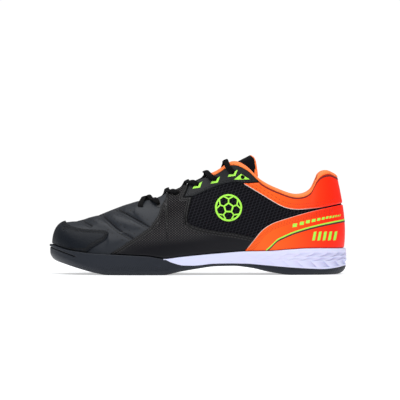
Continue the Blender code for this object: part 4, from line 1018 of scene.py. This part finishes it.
perforation = Effect("perforation", ("Edge", "Along", "Row", "Shift"), ("Hole",))
hole_edge, hole_along, hole_row, hole_shift = perforation.inputs
hole_phase = perforation.math("FRACT", perforation.math(
    "ADD", perforation.math("DIVIDE", hole_along, 1.9), hole_shift))
perforation.set("Hole", perforation.math("MULTIPLY", perforation.near(
    hole_edge, hole_row, 0.42), perforation.near(hole_phase, 0.5, 0.3)))


def orange(name, perforated):
    """Smooth synthetic, orange in front and red at the heel, with a pale cut edge."""
    made = Finish(name, (1.0, 0.115, 0.010), 0.45, Specular_IOR_Level=0.2)
    x, y, z = made.axes()
    made.tint(made.ramp(x, 62.0, 140.0), (1.0, 0.014, 0.0))
    made.bump(made.noise(1300.0, 3.0), 0.0001, 0.4)
    edge, along = made.attribute("row"), made.attribute("along")
    for k, row in enumerate(perforated):
        # Painted shade: each perforation is a darker red dot over a shallow dent; no holes are cut.
        dots = made.use(perforation, Edge=edge, Along=along, Row=row, Shift=0.5 * k)["Hole"]
        dots = made.math("MULTIPLY", dots, made.ramp(x, 137.0, 130.0))
        made.tint(made.math("MULTIPLY", dots, 0.75), (0.30, 0.02, 0.005))
        made.bump(made.math("MULTIPLY", dots, -1.0), 0.0003, 0.8)
    pale = made.math("MULTIPLY", made.ramp(edge, 0.55, 0.25), made.ramp(x, 128.0, 96.0))
    made.tint(made.math("MULTIPLY", pale, made.ramp(z, 25.0, 28.0)), (0.75, 0.62, 0.55))
    return made


def eyelet_places(side):
    """(s, v) of the eyelets of one side, front to back."""
    xs, zs = np.array(EYELETS).T
    return place_on(xs * LENGTH, zs * INSTEP_HEIGHT, side)


EYELET_RADIUS = 2.0 * MM
holes = {side: [(centre, EYELET_RADIUS) for centre in skin(*eyelet_places(side))]
         for side in (-1, 1)}
panel("toe_cap", (14.5, LOOP - 14.5), (0.05, 0.992), cap_bounds, cap_leather, "black_leather")
for side, word in ((-1, "outer"), (1, "inner")):
    spans = [(4.0, 17.5), (6.0, 12.8)]
    if side > 0:
        spans = [(LOOP - b, LOOP - a) for a, b in spans]
    panel(f"side_panel_{word}", spans[0], (0.05, 1.0), side_bounds, scale_leather,
          "embossed_leather", holes=holes[side][2:3])
    panel(f"eyestay_{word}", spans[1], (0.55, 1.0), stay_bounds, stay_leather, "black_leather",
          holes=holes[side])
panel("collar_panel", (-8.6, 8.6), (0.4, 1.0), collar_bounds, orange("collar_synthetic", (2.2, 5.0)),
      "orange_synthetic")
panel("heel_counter", (-8.0, 8.0), (0.03, 0.8), counter_bounds,
      orange("counter_synthetic", (2.0, 3.3, 4.6, 5.9)), "orange_synthetic")

# Collar binding: a roll of orange cloth over foam, turned over the edge of the collar and the
# upper throat and sewn down outside and inside.
BINDING_END = 10.25
roll_s = np.linspace(-BINDING_END, BINDING_END, 420)
outer_edge = offset(roll_s, 1.0, 0.0)
inner_edge = offset(roll_s, 1.0, -wall_depth(roll_s, 1.0))
up = unit(skin(roll_s, 1.0) - skin(roll_s, 0.97))
across_roll = unit(inner_edge - outer_edge)
wider = ease(7.3, 8.3, np.abs(roll_s))[:, None]
start = outer_edge - across_roll * 1.6 * MM - up * (1.4 + 0.9 * wider) * MM
end = inner_edge + across_roll * 0.2 * MM - up * 0.6 * MM
middle, half = (start + end) / 2, (end - start) / 2
roll_rows = []
for k in range(19):
    angle = math.pi * k / 18
    arch = up * (4.15 + 0.45 * wider) * MM * math.sin(angle) ** 0.8
    roll_rows.append(middle - half * math.cos(angle) + arch)
roll_rows.append(end - across_roll * 0.9 * MM)
roll_rows.insert(0, start + across_roll * 0.9 * MM)
roll = add_object("collar_roll", np.array(roll_rows), grid_faces(len(roll_rows), len(roll_s)),
                  [binding_cloth.material])
install(roll, "orange_lining", "collar_binding")

# Laces: one flat woven lace, a bar over the front pair of eyelets, then a crossing at each pair
# up to the sixth. Each strand passes over the tongue and the edge and ends in its eyelet.
lace_cloth = Finish("lace_weave", (0.003, 0.003, 0.004), 0.8, Specular_IOR_Level=0.12)
lace_run, lace_wide = lace_cloth.attribute("run"), lace_cloth.attribute("wide")
twill = []
for lean in (1.0, -1.0):
    run = lace_cloth.math("ADD", lace_cloth.math("MULTIPLY", lace_run, 0.9),
                          lace_cloth.math("MULTIPLY", lace_wide, lean))
    twill.append(lace_cloth.near(lace_cloth.math("FRACT", run), 0.5, 0.5))
lace_cloth.bump(lace_cloth.math("MULTIPLY", twill[0], twill[1]), 0.0005, 0.9)
LACE_WIDTH, LACE_THICKNESS = 5.4 * MM, 1.7 * MM
OVERLAY = 1.0 * MM
LEAN = 0.45
pairs = {side: eyelet_places(side) for side in (-1, 1)}


def over_stay(k, side, share):
    s, v = pairs[side][0][k], pairs[side][1][k]
    s = s - side * LEAN * share * (k > 0)
    bound = 1.5 * MM if station(s) < 10.8 else 0
    lift = GAP + OVERLAY + 1.1 * MM + (2.2 * MM + bound) * share
    at = v + (1 - v) * share
    return offset(s, at, lift), skin_normal(s, at)


def over_edge(k, side):
    s = pairs[side][0][k] - side * LEAN
    normal = skin_normal(s, 1.0)
    rise_up = unit(skin(s, 1.0) - skin(s, 0.97))
    rise, sideways = 3.3 * MM, 1.1 * MM - wall_depth(s, 1.0) / 2
    if station(s) < 10.8:
        rise, sideways = rise + 2.9 * MM, sideways + 1.5 * MM
    return skin(s, 1.0) + rise_up * rise + normal * sideways, unit(normal + rise_up)


def over_tongue(t, across_at, lift):
    here = tongue_surface(t, across_at)
    along = tongue_surface(t - 0.2, across_at) - tongue_surface(t + 0.2, across_at)
    over = tongue_surface(t, across_at + 0.1) - tongue_surface(t, across_at - 0.1)
    normal = unit(np.cross(along, over))
    normal = normal * np.sign(normal[2])
    return here + normal * (1.1 * MM + lift), normal


def pair_station(k):
    return float(station(pairs[-1][0][k]) + station(pairs[1][0][k])) / 2


def lace(name, stops, node=None):
    """A strand through the stops, narrower where it turns into an eyelet."""
    t = np.linspace(0, len(stops) - 1, 12 * len(stops))
    path = np.stack([smooth([p[k] for p, _ in stops], t) for k in range(3)], -1)
    normals = unit(np.stack([smooth([n[k] for _, n in stops], t) for k in range(3)], -1))
    end = np.clip((len(stops) - 1 - t) / 1.6, 0, 1)
    begin = np.clip(t / 1.6, 0, 1) if name == "lace_bar" else np.ones_like(t)
    pinch = 0.55 + 0.45 * ease(0, 1, np.minimum(end, begin))
    piece = tube(name, path, normals, LACE_WIDTH * pinch, LACE_THICKNESS * (1.9 - 0.9 * pinch),
                 lace_cloth, power=0.7)
    install(piece, "lace_weave", *([node] if node else []))


def into_eyelet(k, side):
    s, v = pairs[side][0][k], pairs[side][1][k]
    return offset(s, v, -1.0 * MM), skin_normal(s, v)


bar = [into_eyelet(0, -1), over_stay(0, -1, 0.10), over_stay(0, -1, 0.45)]
bar += [over_tongue(pair_station(0) - 0.22, a, 6.6 * MM) for a in (-0.3, 0.3)]
bar += [over_stay(0, 1, 0.45), over_stay(0, 1, 0.10), into_eyelet(0, 1)]
lace("lace_bar_skin", bar, "lace_bar")
for k in range(1, 6):
    for side in (-1, 1):
        low_t, high_t = pair_station(k - 1), pair_station(k)
        ride = 1.9 * MM if (side < 0) == (k % 2 == 1) else 0.2 * MM
        hump = max(4.2 - k, 0.8) * 1.4 * MM
        stops = [over_tongue(low_t + (high_t - low_t) * share, at * -side, lift)
                 for at, share, lift in ((0.62, 0.02, 0.2 * MM), (0.3, 0.24, 0.2 * MM + 0.4 * hump),
                                         (0.0, 0.5, ride + hump + 0.6 * MM))]
        stops += [over_edge(k, side), over_stay(k, side, 0.5), over_stay(k, side, 0.08),
                  into_eyelet(k, side)]
        lace(f"lace_strand_{k}_{'outer' if side < 0 else 'inner'}", stops, f"lace_cross_{k}")


# Trim: green and black film pressed onto the finished upper: accents at the eyelets, a plain
# ball badge on the mesh, and on the counter two lines, a row of shrinking squares and a row of
# slanted bars. The front eyelet holes on the vamp are black discs of painted shade, and a dark line
# of painted shadow runs along the collar's sewn seam.
def ribbon(name, pieces, finish, slot_name, lift=0.18, across_steps=3):
    """Thin shapes laid on the upper: each is the strip between two curves in (s, v)."""
    points, faces = [], []
    for (s_a, v_a), (s_b, v_b), height, closed in pieces:
        f = np.linspace(0, 1, across_steps + 1)[:, None]
        s, v = s_a * (1 - f) + s_b * f, v_a * (1 - f) + v_b * f
        sheet = offset(s, v, (height + lift) * MM)
        faces += grid_faces(*s.shape, closed=closed, start=len(points))
        points += sheet.reshape(-1, 3).tolist()
    piece = add_object(name, np.array(points), faces, [finish.material], merge=False)
    bm = bmesh.new()
    bm.from_mesh(piece.data)
    flipped = [f for f in bm.faces if (f.calc_center_median().y - 2 * MM) * f.normal.y < 0]
    bmesh.ops.reverse_faces(bm, faces=flipped)
    bm.to_mesh(piece.data)
    bm.free()
    install(piece, slot_name)


def strip(side, curve_a, curve_b, height, closed=False, steps=6):
    """A strip between two curves seen from the side, in millimetres."""
    ends = []
    for curve in (curve_a, curve_b):
        xs, zs = np.array(curve, float).T
        t = np.linspace(0, len(xs) - 1, (len(xs) - 1) * steps + 1)
        xs, zs = np.interp(t, range(len(xs)), xs), np.interp(t, range(len(zs)), zs)
        ends.append(place_on(xs * MM, zs * MM, side))
    return ends[0], ends[1], height, closed


def circle(x, z, radius, count=48, start=0.0, sweep=2 * math.pi):
    angles = [start + sweep * k / count for k in range(count + 1)]
    return [(x + radius * math.cos(a), z + radius * math.sin(a)) for a in angles]


green = Finish("green_print", (0.36, 0.82, 0.07), 0.45, Specular_IOR_Level=0.3)
black = Finish("black_print", (0.01, 0.01, 0.012), 0.5)
ON_PANEL = 1.3
accents, badge, lines_green, lines_black, squares = [], [], [], [], []
for side in (-1, 1):
    centres = [(x * LENGTH / MM, z * INSTEP_HEIGHT / MM) for x, z in EYELETS]
    for x, z in centres[3:6]:
        outer_v = [(x - 4.6, z - 4.4), (x + 2.7, z - 3.2), (x + 5.0, z + 2.7)]
        inner_v = [(x - 3.2, z - 1.9), (x + 1.0, z - 1.9), (x + 2.3, z + 1.1)]
        accents.append(strip(side, outer_v, inner_v, ON_PANEL))
    x, z = centres[6]
    triangle = [(x - 8.6, z - 2.6), (x - 1.6, z + 3.1), (x + 6.8, z - 2.2), (x - 8.6, z - 2.6)]
    ring_in = circle(x, z, 2.0, 3 * 6, math.radians(200), -2 * math.pi)
    ends = [place_on(*(np.array(c).T * MM), side) for c in
            ([(np.interp(k / 6, range(4), [p[0] for p in triangle]),
               np.interp(k / 6, range(4), [p[1] for p in triangle])) for k in range(19)], ring_in)]
    accents.append((ends[0], ends[1], ON_PANEL, False))
    bx, bz = 30.0, 65.5
    badge.append(strip(side, circle(bx, bz, 13.2), circle(bx, bz, 11.4), 0.2, steps=1))
    pentagon = [[(bx + r * math.sin(2 * math.pi * k / 5), bz + r * math.cos(2 * math.pi * k / 5))
                 for k in range(6)] for r in (5.6, 3.7)]
    badge.append(strip(side, *pentagon, 0.2))
    for k in range(5):
        a = 2 * math.pi * k / 5
        fork = (bx + 8.6 * math.sin(a), bz + 8.6 * math.cos(a))
        hub = (bx + 5.0 * math.sin(a), bz + 5.0 * math.cos(a))
        tips = [(bx + 12.2 * math.sin(a + turn), bz + 12.2 * math.cos(a + turn))
                for turn in (-0.42, 0.42)]
        for (x_a, z_a), (x_b, z_b) in ((hub, fork), (fork, tips[0]), (fork, tips[1])):
            size = math.hypot(x_b - x_a, z_b - z_a)
            ox, oz = 0.65 * (z_b - z_a) / size, -0.65 * (x_b - x_a) / size
            badge.append(strip(side, [(x_a - ox, z_a - oz), (x_b - ox, z_b - oz)],
                               [(x_a + ox, z_a + oz), (x_b + ox, z_b + oz)], 0.2))

TRACK = [(0.226, SOLE), (0.249, 0.263), (0.271, 0.319), (0.292, 0.348), (0.334, 0.393),
         (0.392, 0.438), (0.449, 0.472), (0.520, 0.505)]
# centre x and z, width and height of each square, in millimetres
SQUARES = [(94.6, 48.2, 4.3, 3.5), (101.5, 50.1, 4.1, 3.3), (107.4, 51.7, 3.8, 3.1),
           (112.8, 52.9, 3.5, 2.9), (117.6, 54.0, 3.1, 2.7), (121.9, 54.9, 2.7, 2.5),
           (125.6, 55.7, 2.3, 2.4), (128.8, 56.2, 2.0, 2.3), (131.6, 56.6, 1.7, 2.2),
           (134.1, 57.0, 1.4, 2.1), (136.3, 57.3, 1.1, 2.0), (138.2, 57.6, 0.9, 1.9)]
track = side_line(TRACK)
for side in (-1, 1):
    s_line = np.linspace(0, 5.98, 120) if side < 0 else LOOP - np.linspace(0, 5.98, 120)
    for drop, store in ((0.0, lines_green), (1.5, lines_black)):
        floor_v = solve_v(s_line, lambda x: sole_z(RIM, x) + 0.7 * MM)
        ends = [(s_line, np.maximum(solve_v(s_line, lambda x, d=d: track(x) - d * MM), floor_v))
                for d in (drop, drop + 1.35)]
        clear = ends[0][1] > floor_v + 0.004
        store.append((tuple(e[clear] for e in ends[0]), tuple(e[clear] for e in ends[1]),
                      ON_PANEL, False))
    for x, z, w, h in SQUARES:
        low_side = [(x - w / 2 - 0.3, z - h / 2 - 0.2), (x + w / 2 - 0.3, z - h / 2 + 0.2)]
        high_side = [(x - w / 2 + 0.3, z + h / 2 - 0.2), (x + w / 2 + 0.3, z + h / 2 + 0.2)]
        squares.append(strip(side, low_side, high_side, ON_PANEL, steps=2))
    for k in range(5):
        x = 112.5 + 5.0 * k
        squares.append(strip(side, [(x - 1.3, 33.5), (x + 1.3, 33.9)],
                             [(x + 0.4, 42.0), (x + 3.0, 42.4)], ON_PANEL))
# Painted shade: the front two eyelet holes on the vamp are black discs; no holes are cut.
hole_shade_discs, seam = [], []
for side in (-1, 1):
    for x, z in EYELETS[:2]:
        x, z = x * LENGTH / MM, z * INSTEP_HEIGHT / MM - 0.6
        hole_shade_discs.append(strip(side, circle(x, z, 2.3, 24), circle(x, z, 0.05, 24), 0.2, steps=1))
# Painted shadow: a dark red line along the collar's sewn seam, below the binding.
seam_s = np.linspace(-7.15, 7.15, 200)
seam.append(((seam_s, np.full(200, 0.953)), (seam_s, np.full(200, 0.973)), ON_PANEL, False))
seam_dark = Finish("seam_shadow", (0.16, 0.006, 0.002), 0.8)
ribbon("vamp_eyelet_shade", hole_shade_discs, black, "black_leather")
ribbon("collar_seam_painted_shadow", seam, seam_dark, "orange_synthetic")
ribbon("eyelet_accents", accents, green, "orange_synthetic")
ribbon("ball_badge", badge, green, "orange_synthetic")
ribbon("counter_green_line", lines_green, green, "orange_synthetic")
ribbon("counter_black_line", lines_black, black, "black_leather")
ribbon("counter_squares", squares, green, "orange_synthetic")

# Light, floor and camera: a white sweep under soft light, seen square on from the outer side
# through a long lens, as in the photograph.
floor_paint = Finish("studio_floor", (0.90, 0.92, 0.95), 0.3, Emission_Color=(1, 1, 1, 1),
                    Emission_Strength=0.45)
floor = add_object("floor", [(-2, -3, 0), (2, -3, 0), (2, 0.5, 0), (-2, 0.5, 0)], [[0, 1, 2, 3]],
                   [floor_paint.material], merge=False)


def area_light(name, place, aim, power, size):
    data = bpy.data.lights.new(name, "AREA")
    data.energy, data.shape, data.size, data.size_y = power, "RECTANGLE", size[0], size[1]
    lamp = bpy.data.objects.new(name, data)
    bpy.context.scene.collection.objects.link(lamp)
    lamp.location = place
    toward = Vector(aim) - Vector(place)
    lamp.rotation_euler = toward.to_track_quat("-Z", "Y").to_euler()


area_light("top_box", (0.0, -0.5, 1.7), (0, -0.5, 0), 58.0, (3.0, 2.8))
area_light("front_box", (-0.7, -1.6, 0.9), (0, 0, 0.05), 3.0, (0.6, 0.6))
world = bpy.data.worlds.new("studio")
world.use_nodes = True
sky = world.node_tree.nodes["Background"]
sky.inputs["Color"].default_value = (1.0, 1.0, 1.0, 1)
seen = world.node_tree.nodes.new("ShaderNodeLightPath")
level = world.node_tree.nodes.new("ShaderNodeMath")
level.operation = "MULTIPLY_ADD"
world.node_tree.links.new(seen.outputs["Is Camera Ray"], level.inputs[0])
level.inputs[1].default_value = 0.75
level.inputs[2].default_value = 0.28
world.node_tree.links.new(level.outputs[0], sky.inputs["Strength"])
bpy.context.scene.world = world

PIXEL = 0.985 * MM
DISTANCE, ELEVATION = 3.2, math.radians(0.5)
aim_x, aim_z = (200 - 197.8) * PIXEL, (273.9 - 200) * PIXEL
lens = bpy.data.cameras.new("camera")
lens.sensor_width = 36
lens.lens = 36 * DISTANCE / (400 * PIXEL)
camera = bpy.data.objects.new("camera", lens)
bpy.context.scene.collection.objects.link(camera)
camera.location = (aim_x, -DISTANCE * math.cos(ELEVATION), aim_z + DISTANCE * math.sin(ELEVATION))
camera.rotation_euler = (math.pi / 2 - ELEVATION, 0, 0)
bpy.context.scene.camera = camera
bpy.context.scene.view_settings.view_transform = "Standard"
